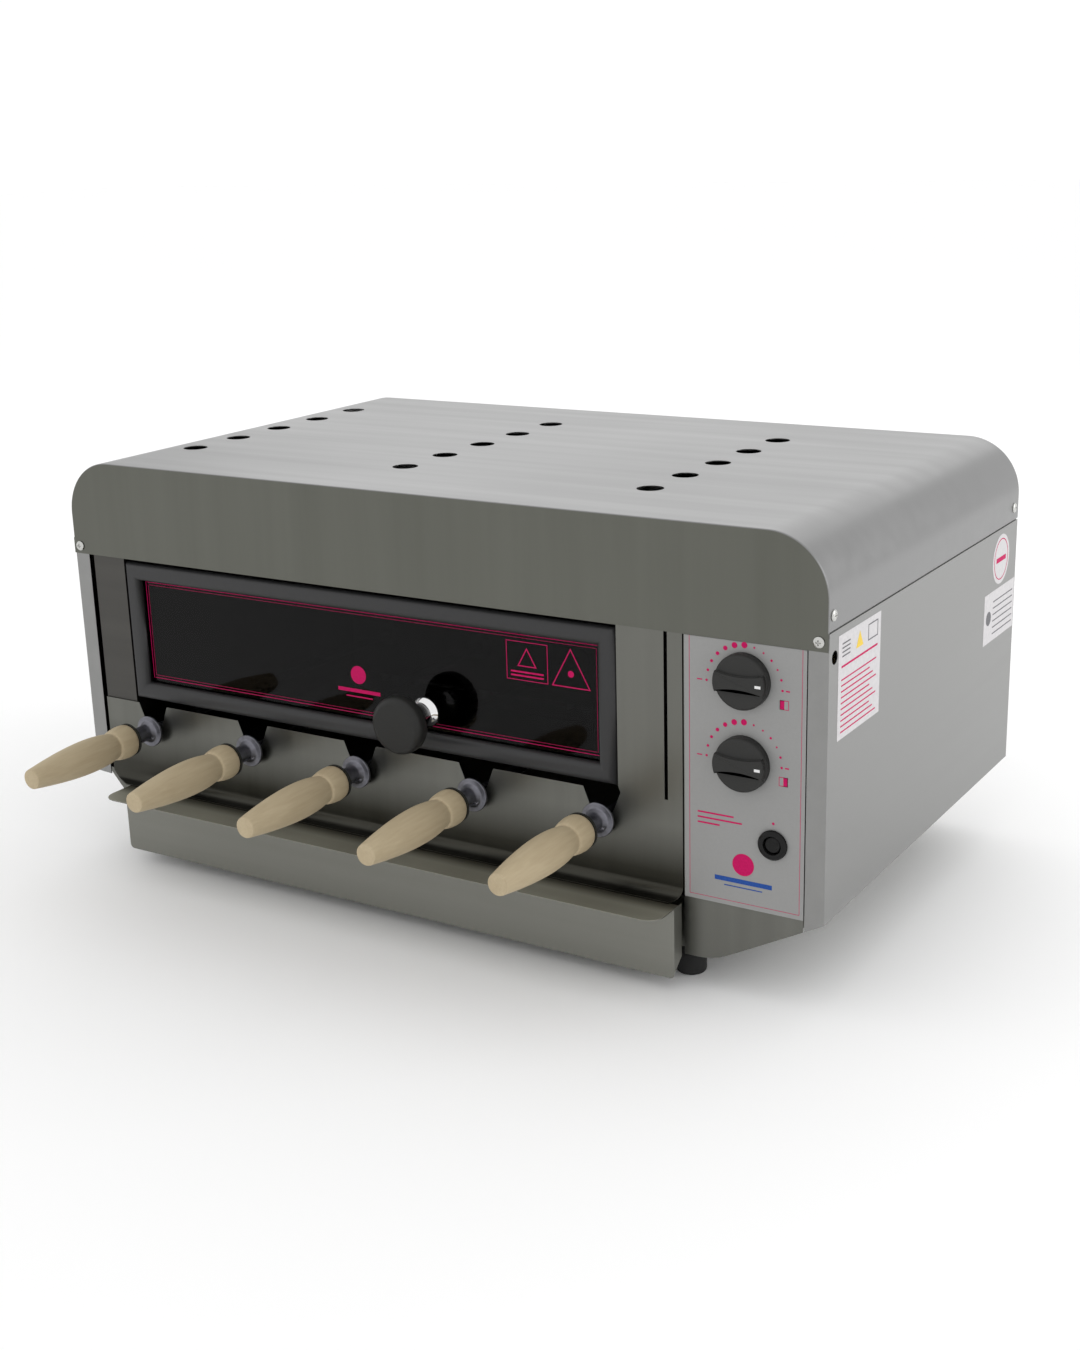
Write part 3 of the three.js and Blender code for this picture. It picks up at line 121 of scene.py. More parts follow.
# ---------------------------------------------------------------- hood
# One wrap of 1 mm stainless sheet with round shoulders and a welded front, brushed from side to
# side on top and upright in front. The front face takes a darker copy of the steel, as painted
# shade. Three rows of round vents let the burner heat out, and the wrap hangs over the side panels.
hood_low, hood_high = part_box("hood")
hood_low.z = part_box("hood_front")[0].z
sheet = 0.001
shoulder_radius = 0.046
shoulder_segments = 24
skirt_drop = 0.0667
front_edge_radius = 0.0012
front_edge_segments = 3
vent_radius = 0.0105
vent_row_places = [-0.2865, -0.0605, 0.1655]
vent_pitch = 0.0569
vent_setback = 0.0925
vents_in_row = 5
hood_screw_radius = 0.0024
drill_length = 4 * sheet
side_drill_length = 12 * sheet
square_on = 0.9
turn_to_axis = [(0, math.pi / 2, 0), (math.pi / 2, 0, 0), (0, 0, 0)]


def pick(piece, kind, wanted):
    """Selects, in edit mode, the faces or edges whose middle and normal or direction are wanted."""
    bpy.ops.mesh.select_mode(type=kind)
    bpy.ops.mesh.select_all(action='DESELECT')
    shape = bmesh.from_edit_mesh(piece.data)
    for part in (shape.faces if kind == 'FACE' else shape.edges):
        middle = sum((corner.co for corner in part.verts), Vector()) / len(part.verts)
        if kind == 'FACE':
            way = part.normal
        else:
            way = (part.verts[1].co - part.verts[0].co).normalized()
        if wanted(middle, way):
            part.select_set(True)
    bmesh.update_edit_mesh(piece.data)


def apply_modifier(piece, kind, **settings):
    clear_selection()
    piece.select_set(True)
    bpy.context.view_layer.objects.active = piece
    modifier = piece.modifiers.new(kind.lower(), kind)
    for key, value in settings.items():
        setattr(modifier, key, value)
    bpy.ops.object.modifier_apply(modifier=modifier.name)


def block(name, low, high):
    """A cuboid between two corners, its place in its mesh."""
    clear_selection()
    low, high = Vector(low), Vector(high)
    bpy.ops.mesh.primitive_cube_add(size=1, location=(low + high) / 2)
    piece = bpy.context.object
    piece.name = name
    piece.scale = high - low
    bpy.ops.object.transform_apply(location=True, rotation=True, scale=True)
    return piece


def cylinder(name, centre, radius, length, axis, sides=48):
    """A cylinder along X, Y or Z (axis 0, 1 or 2), its place in its mesh."""
    clear_selection()
    bpy.ops.mesh.primitive_cylinder_add(vertices=sides, radius=radius, depth=length,
                                        location=centre, rotation=turn_to_axis[axis])
    piece = bpy.context.object
    piece.name = name
    bpy.ops.object.transform_apply(location=True, rotation=True, scale=True)
    return piece


def join(name, pieces):
    clear_selection()
    for piece in pieces:
        piece.select_set(True)
    bpy.context.view_layer.objects.active = pieces[0]
    if len(pieces) > 1:
        bpy.ops.object.join()
    pieces[0].name = name
    return pieces[0]


def carve(piece, cutter, operation='DIFFERENCE'):
    apply_modifier(piece, 'BOOLEAN', object=cutter, operation=operation, solver='EXACT')
    bpy.data.objects.remove(cutter)


def smooth_faces(piece):
    """Even shading: flat faces stay flat and narrow rounds blend between them."""
    clear_selection()
    piece.select_set(True)
    bpy.context.view_layer.objects.active = piece
    bpy.ops.object.shade_smooth()
    apply_modifier(piece, 'WEIGHTED_NORMAL', weight=60)


def give(piece, body, slot, *finishes, stands_for=()):
    """Hangs a finished piece on its body, with its materials; the slot argument is not used."""
    if finishes:
        piece.data.materials.clear()
        for finish in finishes:
            piece.data.materials.append(finish)
    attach(piece, body)
    if stands_for:
        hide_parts(*stands_for)
    return piece


def new_finish(name, colour, roughness, metallic=0.0, specular=0.5):
    finish = bpy.data.materials.new(name)
    finish.use_nodes = True
    shader = finish.node_tree.nodes["Principled BSDF"]
    shader.inputs["Base Color"].default_value = (*colour, 1)
    shader.inputs["Roughness"].default_value = roughness
    shader.inputs["Metallic"].default_value = metallic
    shader.inputs["Specular IOR Level"].default_value = specular
    return finish


def noise(finish, scale, stretch=(1, 1, 1), detail=3.0, rough=0.5):
    """A noise pattern in the piece's own coordinates, drawn out along an axis by stretch."""
    nodes, links = finish.node_tree.nodes, finish.node_tree.links
    where = nodes.new("ShaderNodeTexCoord")
    mapping = nodes.new("ShaderNodeMapping")
    mapping.inputs["Scale"].default_value = stretch
    pattern = nodes.new("ShaderNodeTexNoise")
    pattern.inputs["Scale"].default_value = scale
    pattern.inputs["Detail"].default_value = detail
    pattern.inputs["Roughness"].default_value = rough
    links.new(where.outputs["Object"], mapping.inputs["Vector"])
    links.new(mapping.outputs["Vector"], pattern.inputs["Vector"])
    return pattern.outputs["Fac"]


noise_low = 0.3
noise_high = 0.7


def spread(finish, value, low, high):
    """A noise value, which seldom leaves noise_low to noise_high, spread over low to high."""
    nodes, links = finish.node_tree.nodes, finish.node_tree.links
    ranged = nodes.new("ShaderNodeMapRange")
    ranged.inputs["From Min"].default_value = noise_low
    ranged.inputs["From Max"].default_value = noise_high
    ranged.inputs["To Min"].default_value = low
    ranged.inputs["To Max"].default_value = high
    links.new(value, ranged.inputs["Value"])
    return ranged.outputs["Result"]


def blend_colours(finish, value, first, second):
    nodes, links = finish.node_tree.nodes, finish.node_tree.links
    mixed = nodes.new("ShaderNodeMix")
    mixed.data_type = 'RGBA'
    mixed.inputs["A"].default_value = (*first, 1)
    mixed.inputs["B"].default_value = (*second, 1)
    links.new(value, mixed.inputs["Factor"])
    return mixed.outputs["Result"]


def connect(finish, value, socket):
    finish.node_tree.links.new(value, finish.node_tree.nodes["Principled BSDF"].inputs[socket])


def vary_colour(finish, pattern, first, second):
    """Lets a pattern move the finish's colour between two colours."""
    connect(finish, blend_colours(finish, spread(finish, pattern, 0, 1), first, second),
            "Base Color")


def vary_roughness(finish, pattern, low, high):
    connect(finish, spread(finish, pattern, low, high), "Roughness")


def bump(finish, value, depth):
    nodes, links = finish.node_tree.nodes, finish.node_tree.links
    relief = nodes.new("ShaderNodeBump")
    relief.inputs["Distance"].default_value = depth
    links.new(value, relief.inputs["Height"])
    connect(finish, relief.outputs["Normal"], "Normal")


brushing_scale = 60
brushing_depth = 0.00006
cloud_scale = 4
grain_share = 0.55
duller = 0.08
glossier = 0.06
along_x = (0.04, 1, 1)
along_y = (1, 0.04, 1)
along_z = (1, 1, 0.04)


def brushed_steel(name, dark, light, stretch, roughness=0.34):
    """Sheet steel with fine brushing drawn out along one axis and faint cloudy patches."""
    finish = new_finish(name, light, roughness, metallic=1.0)
    grain = noise(finish, brushing_scale, stretch, detail=5)
    cloud = noise(finish, cloud_scale, detail=2)
    nodes, links = finish.node_tree.nodes, finish.node_tree.links
    both = nodes.new("ShaderNodeMath")
    both.operation = 'MULTIPLY_ADD'
    both.inputs[1].default_value = grain_share
    links.new(grain, both.inputs[0])
    cloud_part = nodes.new("ShaderNodeMath")
    cloud_part.operation = 'MULTIPLY'
    cloud_part.inputs[1].default_value = 1 - grain_share
    links.new(cloud, cloud_part.inputs[0])
    links.new(cloud_part.outputs["Value"], both.inputs[2])
    vary_colour(finish, both.outputs["Value"], dark, light)
    vary_roughness(finish, both.outputs["Value"], roughness - glossier, roughness + duller)
    bump(finish, grain, brushing_depth)
    return finish


hood_steel = brushed_steel("hood_steel", (0.225, 0.225, 0.225), (0.26, 0.26, 0.26), along_x)
# A darker copy of the same steel for the hood's front face: painted shade.
shaded_fascia_steel = brushed_steel("shaded_fascia_steel", (0.118, 0.12, 0.104), (0.142, 0.144, 0.126), along_z)

hood = block("hood_shell", hood_low, hood_high)
skirt_bottom = hood_high.z - skirt_drop
bpy.ops.object.mode_set(mode='EDIT')
pick(hood, 'EDGE', lambda middle, way: abs(way.y) > square_on and middle.z > hood_high.z - sheet)
bpy.ops.mesh.bevel(offset=shoulder_radius, segments=shoulder_segments, affect='EDGES')
pick(hood, 'FACE', lambda middle, normal: normal.y > square_on or normal.z < -square_on)
bpy.ops.mesh.delete(type='FACE')
bpy.ops.mesh.select_all(action='SELECT')
bpy.ops.mesh.bisect(plane_co=(0, 0, skirt_bottom), plane_no=(0, 0, 1))
pick(hood, 'FACE', lambda middle, normal: abs(normal.x) > square_on and middle.z < skirt_bottom)
bpy.ops.mesh.delete(type='FACE')
pick(hood, 'EDGE', lambda middle, way: middle.y < hood_low.y + sheet / 2
     and middle.z > skirt_bottom + sheet / 2)
bpy.ops.mesh.bevel(offset=front_edge_radius, segments=front_edge_segments, affect='EDGES')
bpy.ops.object.mode_set(mode='OBJECT')
apply_modifier(hood, 'SOLIDIFY', thickness=sheet, offset=-1)

holes = []
for row_place in vent_row_places:
    for step in range(vents_in_row):
        holes.append(cylinder("vent", (row_place, hood_low.y + vent_setback + step * vent_pitch,
                                       hood_high.z), vent_radius, drill_length, 2))
for side_name in ("left", "right"):
    low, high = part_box(side_name + "_fascia_screw")
    holes.append(cylinder("screw_hole", ((low.x + high.x) / 2, hood_low.y, (low.z + high.z) / 2),
                          hood_screw_radius, drill_length, 1, 24))
    low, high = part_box(side_name + "_hood_screw")
    holes.append(cylinder("screw_hole", (low.x if side_name == "left" else high.x,
                                         (low.y + high.y) / 2, (low.z + high.z) / 2),
                          hood_screw_radius, side_drill_length, 0, 24))
carve(hood, join("hood_holes", holes))
smooth_faces(hood)
give(hood, "casing", "casing_steel", hood_steel, shaded_fascia_steel, stands_for=["hood", "hood_front"])
# Forward-facing faces on the front take the darker copy: painted shade.
for face in hood.data.polygons:
    if face.normal.y < -square_on and face.center.y < hood_low.y + sheet / 2:
        face.material_index = 1

# ---------------------------------------------------------------- casing panels
# Folded stainless panels: two sides with front and rear returns, the notched front panel with its
# bent lip, the control panel and the base. Their cut edges are broken and slightly rounded. All but
# the sides take a darker copy of the steel as painted shade, and the front panel is painted darker
# still towards its foot as painted shade, which also hides the highlight on its bent lip.
panel_edge = 0.00025
same_place = 0.00001
flat_angle = math.radians(1)
sharp_angle = math.radians(30)
side_dark = (0.25, 0.25, 0.245)
side_light = (0.29, 0.29, 0.285)
# Darker copy of the side steel for the other panels: painted shade.
shaded_panel_dark = (0.135, 0.136, 0.122)
shaded_panel_light = (0.175, 0.176, 0.16)
# Painted shade on the front panel's foot: darkening from the first height down to the second.
painted_shade_top = 0.125
painted_shade_bottom = 0.086
apron_painted_shade = (0.32, 0.31, 0.29)


def dressed(node, edge, segments=2):
    """A copy of a CAD piece with its triangles merged and its sharp edges broken."""
    clear_selection()
    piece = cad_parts[node].copy()
    piece.data = piece.data.copy()
    piece.name = node + "_shell"
    for key in [key for key in piece.keys() if key.startswith("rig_")]:
        del piece[key]
    piece.parent = None
    bpy.context.scene.collection.objects.link(piece)
    piece.select_set(True)
    bpy.context.view_layer.objects.active = piece
    bpy.ops.object.mode_set(mode='EDIT')
    bpy.ops.mesh.select_all(action='SELECT')
    bpy.ops.mesh.remove_doubles(threshold=same_place)
    bpy.ops.mesh.dissolve_limited(angle_limit=flat_angle)
    bpy.ops.object.mode_set(mode='OBJECT')
    if edge:
        apply_modifier(piece, 'BEVEL', width=edge, segments=segments, limit_method='ANGLE',
                       angle_limit=sharp_angle)
    smooth_faces(piece)
    return piece


def along_axis(finish, axis, start, end):
    """A 0 to 1 ramp along one axis of the piece, from start to end."""
    nodes, links = finish.node_tree.nodes, finish.node_tree.links
    place = nodes.new("ShaderNodeTexCoord")
    split = nodes.new("ShaderNodeSeparateXYZ")
    ramp = nodes.new("ShaderNodeMapRange")
    links.new(place.outputs["Object"], split.inputs["Vector"])
    links.new(split.outputs[axis], ramp.inputs["Value"])
    ramp.inputs["From Min"].default_value = start
    ramp.inputs["From Max"].default_value = end
    return ramp.outputs["Result"]


def tinted(finish, amount, tint):
    """Multiplies the finish's colour by a tint where amount is 1."""
    nodes, links = finish.node_tree.nodes, finish.node_tree.links
    shader = nodes["Principled BSDF"]
    colour = shader.inputs["Base Color"].links[0].from_socket
    mix = nodes.new("ShaderNodeMix")
    mix.data_type = 'RGBA'
    mix.blend_type = 'MULTIPLY'
    links.new(amount, mix.inputs["Factor"])
    links.new(colour, mix.inputs["A"])
    mix.inputs["B"].default_value = (*tint, 1)
    links.new(mix.outputs["Result"], shader.inputs["Base Color"])


side_steel = brushed_steel("side_steel", side_dark, side_light, along_y)
# The darker copies below are painted shade; the apron's one darkens further towards its foot.
shaded_panel_steel = brushed_steel("shaded_panel_steel", shaded_panel_dark, shaded_panel_light, along_z)
shaded_apron_steel = brushed_steel("shaded_apron_steel", shaded_panel_dark, shaded_panel_light, along_z)
tinted(shaded_apron_steel, along_axis(shaded_apron_steel, "Z", painted_shade_top, painted_shade_bottom), apron_painted_shade)
for node, finish in [("left_side_panel", side_steel), ("right_side_panel", side_steel),
                     ("rear_panel", shaded_panel_steel), ("front_panel", shaded_apron_steel),
                     ("control_panel", shaded_panel_steel), ("base_frame", shaded_panel_steel)]:
    give(dressed(node, panel_edge), "casing", "casing_steel", finish, stands_for=[node])

# ---------------------------------------------------------------- screws
# Domed stainless screws with a turned head and a pressed cross recess: two through the hood front,
# and two through each side of the hood skirt.
screw_head = 0.0042
screw_dome = 0.0018
screw_shank = 0.002
recess_reach = 0.0019
recess_width = 0.0008
recess_depth = 0.0011
rim_share = 0.2
dome_steps = 6
head_gap = 0.0002
rear_screw_setback = 0.011


def turned_piece(name, stations, centre, axis=1, sides=48):
    """A closed piece turned about X, Y or Z: a disc drawn out through (radius, place) stations."""
    clear_selection()
    radius, place = stations[0]
    middle = Vector(centre)
    middle[axis] = place
    bpy.ops.mesh.primitive_circle_add(vertices=sides, radius=radius, fill_type='NGON',
                                      location=middle, rotation=turn_to_axis[axis])
    piece = bpy.context.object
    piece.name = name
    bpy.ops.object.transform_apply(location=True, rotation=True, scale=True)
    bpy.ops.object.mode_set(mode='EDIT')
    bpy.ops.mesh.select_all(action='SELECT')
    for next_radius, next_place in stations[1:]:
        step = Vector((0, 0, 0))
        step[axis] = next_place - place
        bpy.ops.mesh.extrude_region_move(TRANSFORM_OT_translate={"value": step})
        growth = Vector((1, 1, 1)) * (next_radius / radius)
        growth[axis] = 1
        middle[axis] = next_place
        bpy.ops.transform.resize(value=growth, center_override=middle)
        radius, place = next_radius, next_place
    bpy.ops.mesh.select_all(action='SELECT')
    bpy.ops.mesh.normals_make_consistent(inside=False)
    bpy.ops.object.mode_set(mode='OBJECT')
    return piece


def screw(name, head, axis, outward, shank_length):
    """A screw whose head rests on a panel at head and points outward (+1 or -1) along its axis."""
    seat = head[axis]
    stations = [(screw_shank, seat - outward * shank_length), (screw_shank, seat),
                (screw_head, seat), (screw_head, seat + outward * rim_share * screw_dome)]
    for step in range(1, dome_steps):
        angle = step / dome_steps * math.pi / 2
        rise = rim_share + (1 - rim_share) * math.sin(angle)
        stations.append((screw_head * math.cos(angle), seat + outward * screw_dome * rise))
    piece = turned_piece(name, stations, head, axis, 24)
    top = seat + outward * screw_dome
    across = [way for way in range(3) if way != axis]
    for way, other in (across, reversed(across)):
        reach = Vector((0, 0, 0))
        reach[way] = recess_reach
        reach[other] = recess_width / 2
        reach[axis] = recess_depth
        middle = Vector(head)
        middle[axis] = top
        carve(piece, block("recess", middle - reach, middle + reach))
    smooth_faces(piece)
    return piece


screw_finish = new_finish("screw_finish", (0.55, 0.55, 0.53), 0.25, metallic=1.0)
vary_roughness(screw_finish, noise(screw_finish, 900), 0.18, 0.36)
for side_name, outward in (("left", -1), ("right", 1)):
    node = side_name + "_fascia_screw"
    low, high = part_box(node)
    head = Vector(((low.x + high.x) / 2, hood_low.y - head_gap, (low.z + high.z) / 2))
    give(screw(node + "_head", head, 1, -1, high.y - head.y), "casing", "screw_steel", screw_finish,
         stands_for=[node])
    node = side_name + "_hood_screw"
    low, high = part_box(node)
    head = Vector((outward * hood_high.x, (low.y + high.y) / 2, (low.z + high.z) / 2))
    give(screw(node + "_head", head, 0, outward, high.x - low.x - screw_dome), "casing",
         "screw_steel", screw_finish, stands_for=[node])
    head.y = hood_high.y - rear_screw_setback
    give(screw(side_name + "_rear_hood_screw", head, 0, outward, 2 * sheet), "casing",
         "screw_steel", screw_finish)

# ---------------------------------------------------------------- feet
# Four round black rubber studs, moulded, with a soft lower rim and a step under the casing. Both
# are given by (distance in from the side, distance from the bottom or from the top).
foot_rim = [(0.0022, 0), (0.001, 0.0004), (0.0003, 0.0012), (0, 0.0025)]
foot_step = [(0, 0.0085), (0.0005, 0.0072), (0.002, 0.006), (0.002, 0)]
foot_rubber = new_finish("foot_rubber", (0.02, 0.02, 0.02), 0.75, specular=0.25)
bump(foot_rubber, noise(foot_rubber, 1200, detail=2), 0.00008)
for node in ("front_left_foot", "front_right_foot", "rear_left_foot", "rear_right_foot"):
    low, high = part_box(node)
    middle = (low + high) / 2
    radius = (high.x - low.x) / 2
    stations = [(radius - inset, low.z + rise) for inset, rise in foot_rim]
    stations += [(radius - inset, high.z - drop) for inset, drop in foot_step]
    foot = turned_piece(node + "_stud", stations, middle, 2, 40)
    smooth_faces(foot)
    give(foot, "casing", "foot_rubber", foot_rubber, stands_for=[node])

# ---------------------------------------------------------------- cooking chamber
# Plain steel walls, jambs and shelf inside the casing, with the gear retainer plate behind them.
# Their dark tone is partly browning by heat and partly painted shade for the jambs that sit in the
# fascia's shadow. They are bent from sheet, and their surface is a dull mill finish.
wall_edge = 0.0002
# This steel's dark tone is partly heat tint, partly painted shade for the jambs under the fascia.
chamber_steel = brushed_steel("chamber_steel", (0.07, 0.068, 0.064), (0.10, 0.097, 0.09), along_x,
                              roughness=0.45)
for node in ("left_jamb", "right_jamb", "chamber_left_wall", "chamber_right_wall",
             "chamber_rear_wall", "gear_retainer_plate", "burner_shelf"):
    give(dressed(node, wall_edge), "casing", "chamber_steel", chamber_steel, stands_for=[node])

# ---------------------------------------------------------------- burners
# Two infrared burners look down through the shelf: a pressed housing round a perforated ceramic
# tile that glows when lit. The tile is pale and unglazed, and its small holes are painted as dark
# dots with a bump, as painted shade.
housing_edge = 0.0008
tile_edge = 0.0006
hole_pitch = 0.0035
hole_rim = (0.24, 0.34)
hole_depth = 0.0006
# The holes' darkness is painted shade in the tile's surface.
hole_shade_colour = (0.10, 0.08, 0.06)
ceramic_colour = (0.72, 0.66, 0.55)
tile_ceramic = new_finish("burner_ceramic", ceramic_colour, 0.9)
tile_nodes, tile_links = tile_ceramic.node_tree.nodes, tile_ceramic.node_tree.links
tile_place = tile_nodes.new("ShaderNodeTexCoord")
tile_cells = tile_nodes.new("ShaderNodeTexVoronoi")
tile_cells.inputs["Scale"].default_value = 1 / hole_pitch
tile_cells.inputs["Randomness"].default_value = 0
tile_links.new(tile_place.outputs["Object"], tile_cells.inputs["Vector"])
tile_holes = tile_nodes.new("ShaderNodeMapRange")
tile_holes.inputs["From Min"].default_value = hole_rim[0]
tile_holes.inputs["From Max"].default_value = hole_rim[1]
tile_links.new(tile_cells.outputs["Distance"], tile_holes.inputs["Value"])
connect(tile_ceramic, blend_colours(tile_ceramic, tile_holes.outputs["Result"],
                                    hole_shade_colour, ceramic_colour), "Base Color")
bump(tile_ceramic, tile_holes.outputs["Result"], hole_depth)
for side_name in ("left", "right"):
    node = side_name + "_burner_housing"
    give(dressed(node, housing_edge, 3), "casing", "chamber_steel", chamber_steel,
         stands_for=[node])
    node = side_name + "_burner_tile"
    give(dressed(node, tile_edge), "casing", "burner_ceramic", tile_ceramic, stands_for=[node])

# ---------------------------------------------------------------- gas line
# Brass valves screwed to a square-cut manifold pipe, soft aluminium pipes to the burners, and an
# inlet that ends behind the rear panel in a nut and a barbed hose nozzle.
brass_edge = 0.0004
brass = new_finish("valve_brass", (0.55, 0.40, 0.17), 0.35, metallic=1.0)
brass_stain = noise(brass, 120)
vary_colour(brass, brass_stain, (0.42, 0.29, 0.11), (0.60, 0.45, 0.20))
vary_roughness(brass, brass_stain, 0.28, 0.46)
soft_pipe = new_finish("pipe_aluminium", (0.62, 0.62, 0.62), 0.42, metallic=1.0)
vary_roughness(soft_pipe, noise(soft_pipe, 200), 0.36, 0.52)
for node in ("upper_gas_valve", "lower_gas_valve", "gas_manifold", "gas_inlet"):
    give(dressed(node, brass_edge), "casing", "valve_brass", brass, stands_for=[node])
for node in ("upper_burner_pipe", "lower_burner_pipe"):
    give(dressed(node, 0), "casing", "pipe_aluminium", soft_pipe, stands_for=[node])

# ---------------------------------------------------------------- gear drive
# Five meshed spur gears stamped from steel plate with pressed hubs, driven by a small pinion on a
# geared motor in a drawn steel can. A film of oil darkens and glosses them in random patches.
gear_edge = 0.0004
pinion_edge = 0.0003
motor_edge = 0.0012
gear_steel = new_finish("gear_steel", (0.30, 0.30, 0.31), 0.4, metallic=1.0)
oil_film = noise(gear_steel, 90, detail=4)
vary_colour(gear_steel, oil_film, (0.20, 0.195, 0.19), (0.36, 0.36, 0.37))
vary_roughness(gear_steel, oil_film, 0.26, 0.5)
skewer_count = 5
for number in range(1, skewer_count + 1):
    node = f"drive_gear_{number}"
    give(dressed(node, gear_edge), f"gear_{number}", "gear_steel", gear_steel, stands_for=[node])
give(dressed("motor_pinion", pinion_edge), "pinion", "gear_steel", gear_steel,
     stands_for=["motor_pinion"])
give(dressed("gearmotor", motor_edge, 3), "casing", "chamber_steel", chamber_steel,
     stands_for=["gearmotor"])

# ---------------------------------------------------------------- cord gland
# A black moulded bushing in the rear panel, through which the motor's lead leaves.
# The same plastic is used for the dials.
gland_edge = 0.0005
black_plastic = new_finish("black_plastic", (0.022, 0.022, 0.021), 0.5, specular=0.3)
plastic_grain = noise(black_plastic, 1500, detail=2)
vary_roughness(black_plastic, plastic_grain, 0.42, 0.58)
bump(black_plastic, plastic_grain, 0.00005)
give(dressed("cord_gland", gland_edge, 3), "casing", "dial_plastic", black_plastic,
     stands_for=["cord_gland"])

# ---------------------------------------------------------------- door frame
# A flat ring of black enamelled steel with rounded front edges and a step behind for the glass.
# It swings up on two pins near its top edge.
door_bar = 0.015
outer_round = 0.0065
inner_round = 0.0055
pin_reach_left = 0.006
pin_reach_right = 0.009
pin_root = 0.004
pin_radius = 0.004
pin_drop = 0.008
pin_depth = 0.008
glass_step = 0.0077
glass_margin = 0.006
cut_through = 0.01
near_edge = 0.001
on_face = 0.0001
door_low, door_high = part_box("door_frame")
door_low.x += pin_reach_left
door_high.x -= pin_reach_right


def on_door_outline(place):
    return (min(abs(place.x - door_low.x), abs(place.x - door_high.x)) < near_edge
            or min(abs(place.z - door_low.z), abs(place.z - door_high.z)) < near_edge)


def in_door_opening(place):
    return (door_low.x + 0.8 * door_bar < place.x < door_high.x - 0.8 * door_bar
            and door_low.z + 0.8 * door_bar < place.z < door_high.z - 0.8 * door_bar)


door_frame = block("door_frame_ring", door_low, door_high)
bpy.ops.object.mode_set(mode='EDIT')
pick(door_frame, 'FACE', lambda middle, normal: abs(normal.y) > square_on)
bpy.ops.mesh.inset(thickness=door_bar, use_individual=True)
bpy.ops.mesh.bridge_edge_loops()
pick(door_frame, 'EDGE', lambda middle, way: middle.y < door_low.y + near_edge
     and on_door_outline(middle))
bpy.ops.mesh.bevel(offset=outer_round, segments=8, affect='EDGES')
pick(door_frame, 'EDGE', lambda middle, way: middle.y < door_low.y + on_face
     and in_door_opening(middle))
bpy.ops.mesh.bevel(offset=inner_round, segments=6, affect='EDGES')
bpy.ops.object.mode_set(mode='OBJECT')
carve(door_frame, block("glass_step", (door_low.x + glass_margin, door_low.y + glass_step,
                                       door_low.z + glass_margin),
                        (door_high.x - glass_margin, door_high.y + cut_through,
                         door_high.z - glass_margin)))
for end, inner in ((door_low.x - pin_reach_left, door_low.x + pin_root),
                   (door_high.x - pin_root, door_high.x + pin_reach_right)):
    pin = cylinder("pin", ((end + inner) / 2, door_low.y + pin_depth, door_high.z - pin_drop),
                   pin_radius, abs(inner - end), 0, 32)
    carve(door_frame, pin, 'UNION')
smooth_faces(door_frame)

enamel = new_finish("door_enamel", (0.026, 0.026, 0.027), 0.4, specular=0.38)
enamel_ripple = noise(enamel, 260, detail=2)
vary_roughness(enamel, enamel_ripple, 0.36, 0.46)
bump(enamel, enamel_ripple, 0.00004)
give(door_frame, "door", "door_enamel", enamel, stands_for=["door_frame"])

# ---------------------------------------------------------------- door glass
# A smoked, toughened pane behind the ring, with polished edges. A double line, two plain framed
# marks and a plain round badge are screen printed on its front in magenta.
glass_edge = 0.0005
glass_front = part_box("door_glass")[0].y
smoked_glass = new_finish("smoked_glass", (0.075, 0.075, 0.078), 0.03)
glass_shader = smoked_glass.node_tree.nodes["Principled BSDF"]
glass_shader.inputs["Transmission Weight"].default_value = 1.0
glass_shader.inputs["IOR"].default_value = 1.22
give(dressed("door_glass", glass_edge), "door", "door_glass", smoked_glass,
     stands_for=["door_glass"])

ink_height = 0.0001
line_width = 0.0005
thin_line = 0.5 * line_width
thick_line = 1.6 * line_width
magenta_ink = new_finish("magenta_ink", (0.50, 0.005, 0.10), 0.55, specular=0.12)
vary_colour(magenta_ink, noise(magenta_ink, 700), (0.46, 0.004, 0.09), (0.54, 0.006, 0.11))


def patch(corners, y, x=None):
    """A printed shape, ink_height thick: corners are (across, height) pairs on a front face at y,
    or on a right side face at x."""
    clear_selection()
    bpy.ops.mesh.primitive_circle_add(vertices=len(corners), radius=1, fill_type='NGON')
    piece = bpy.context.object
    for corner, (across, height) in zip(piece.data.vertices, corners):
        corner.co = (across, y, height) if x is None else (x, across, height)
    outward = Vector((0, -ink_height, 0)) if x is None else Vector((ink_height, 0, 0))
    bpy.ops.object.mode_set(mode='EDIT')
    bpy.ops.mesh.select_all(action='SELECT')
    bpy.ops.mesh.extrude_region_move(TRANSFORM_OT_translate={"value": outward})
    bpy.ops.mesh.select_all(action='SELECT')
    bpy.ops.mesh.normals_make_consistent(inside=False)
    bpy.ops.object.mode_set(mode='OBJECT')
    return piece


def printed(name, shapes, y, x=None):
    """All the shapes that one ink prints on one face, as one piece."""
    return join(name, [patch(shape, y, x) for shape in shapes])


def rectangle(left, right, bottom, top):
    return [(left, bottom), (right, bottom), (right, top), (left, top)]


def disc(across, height, radius, sides=24):
    return [(across + radius * math.cos(2 * math.pi * step / sides),
             height + radius * math.sin(2 * math.pi * step / sides)) for step in range(sides)]


def strokes(corners, width):
    """Straight printed strokes of a given width round a closed outline, meeting at its corners."""
    middle = Vector((sum(c[0] for c in corners), sum(c[1] for c in corners))) / len(corners)
    shapes = []
    for first, second in zip(corners, corners[1:] + corners[:1]):
        first, second = Vector(first), Vector(second)
        side = Vector((second.y - first.y, first.x - second.x)).normalized()
        depth = abs((middle - first).dot(side))
        share = 1 - width / depth
        shapes.append([tuple(first), tuple(second), tuple(middle + (second - middle) * share),
                       tuple(middle + (first - middle) * share)])
    return shapes


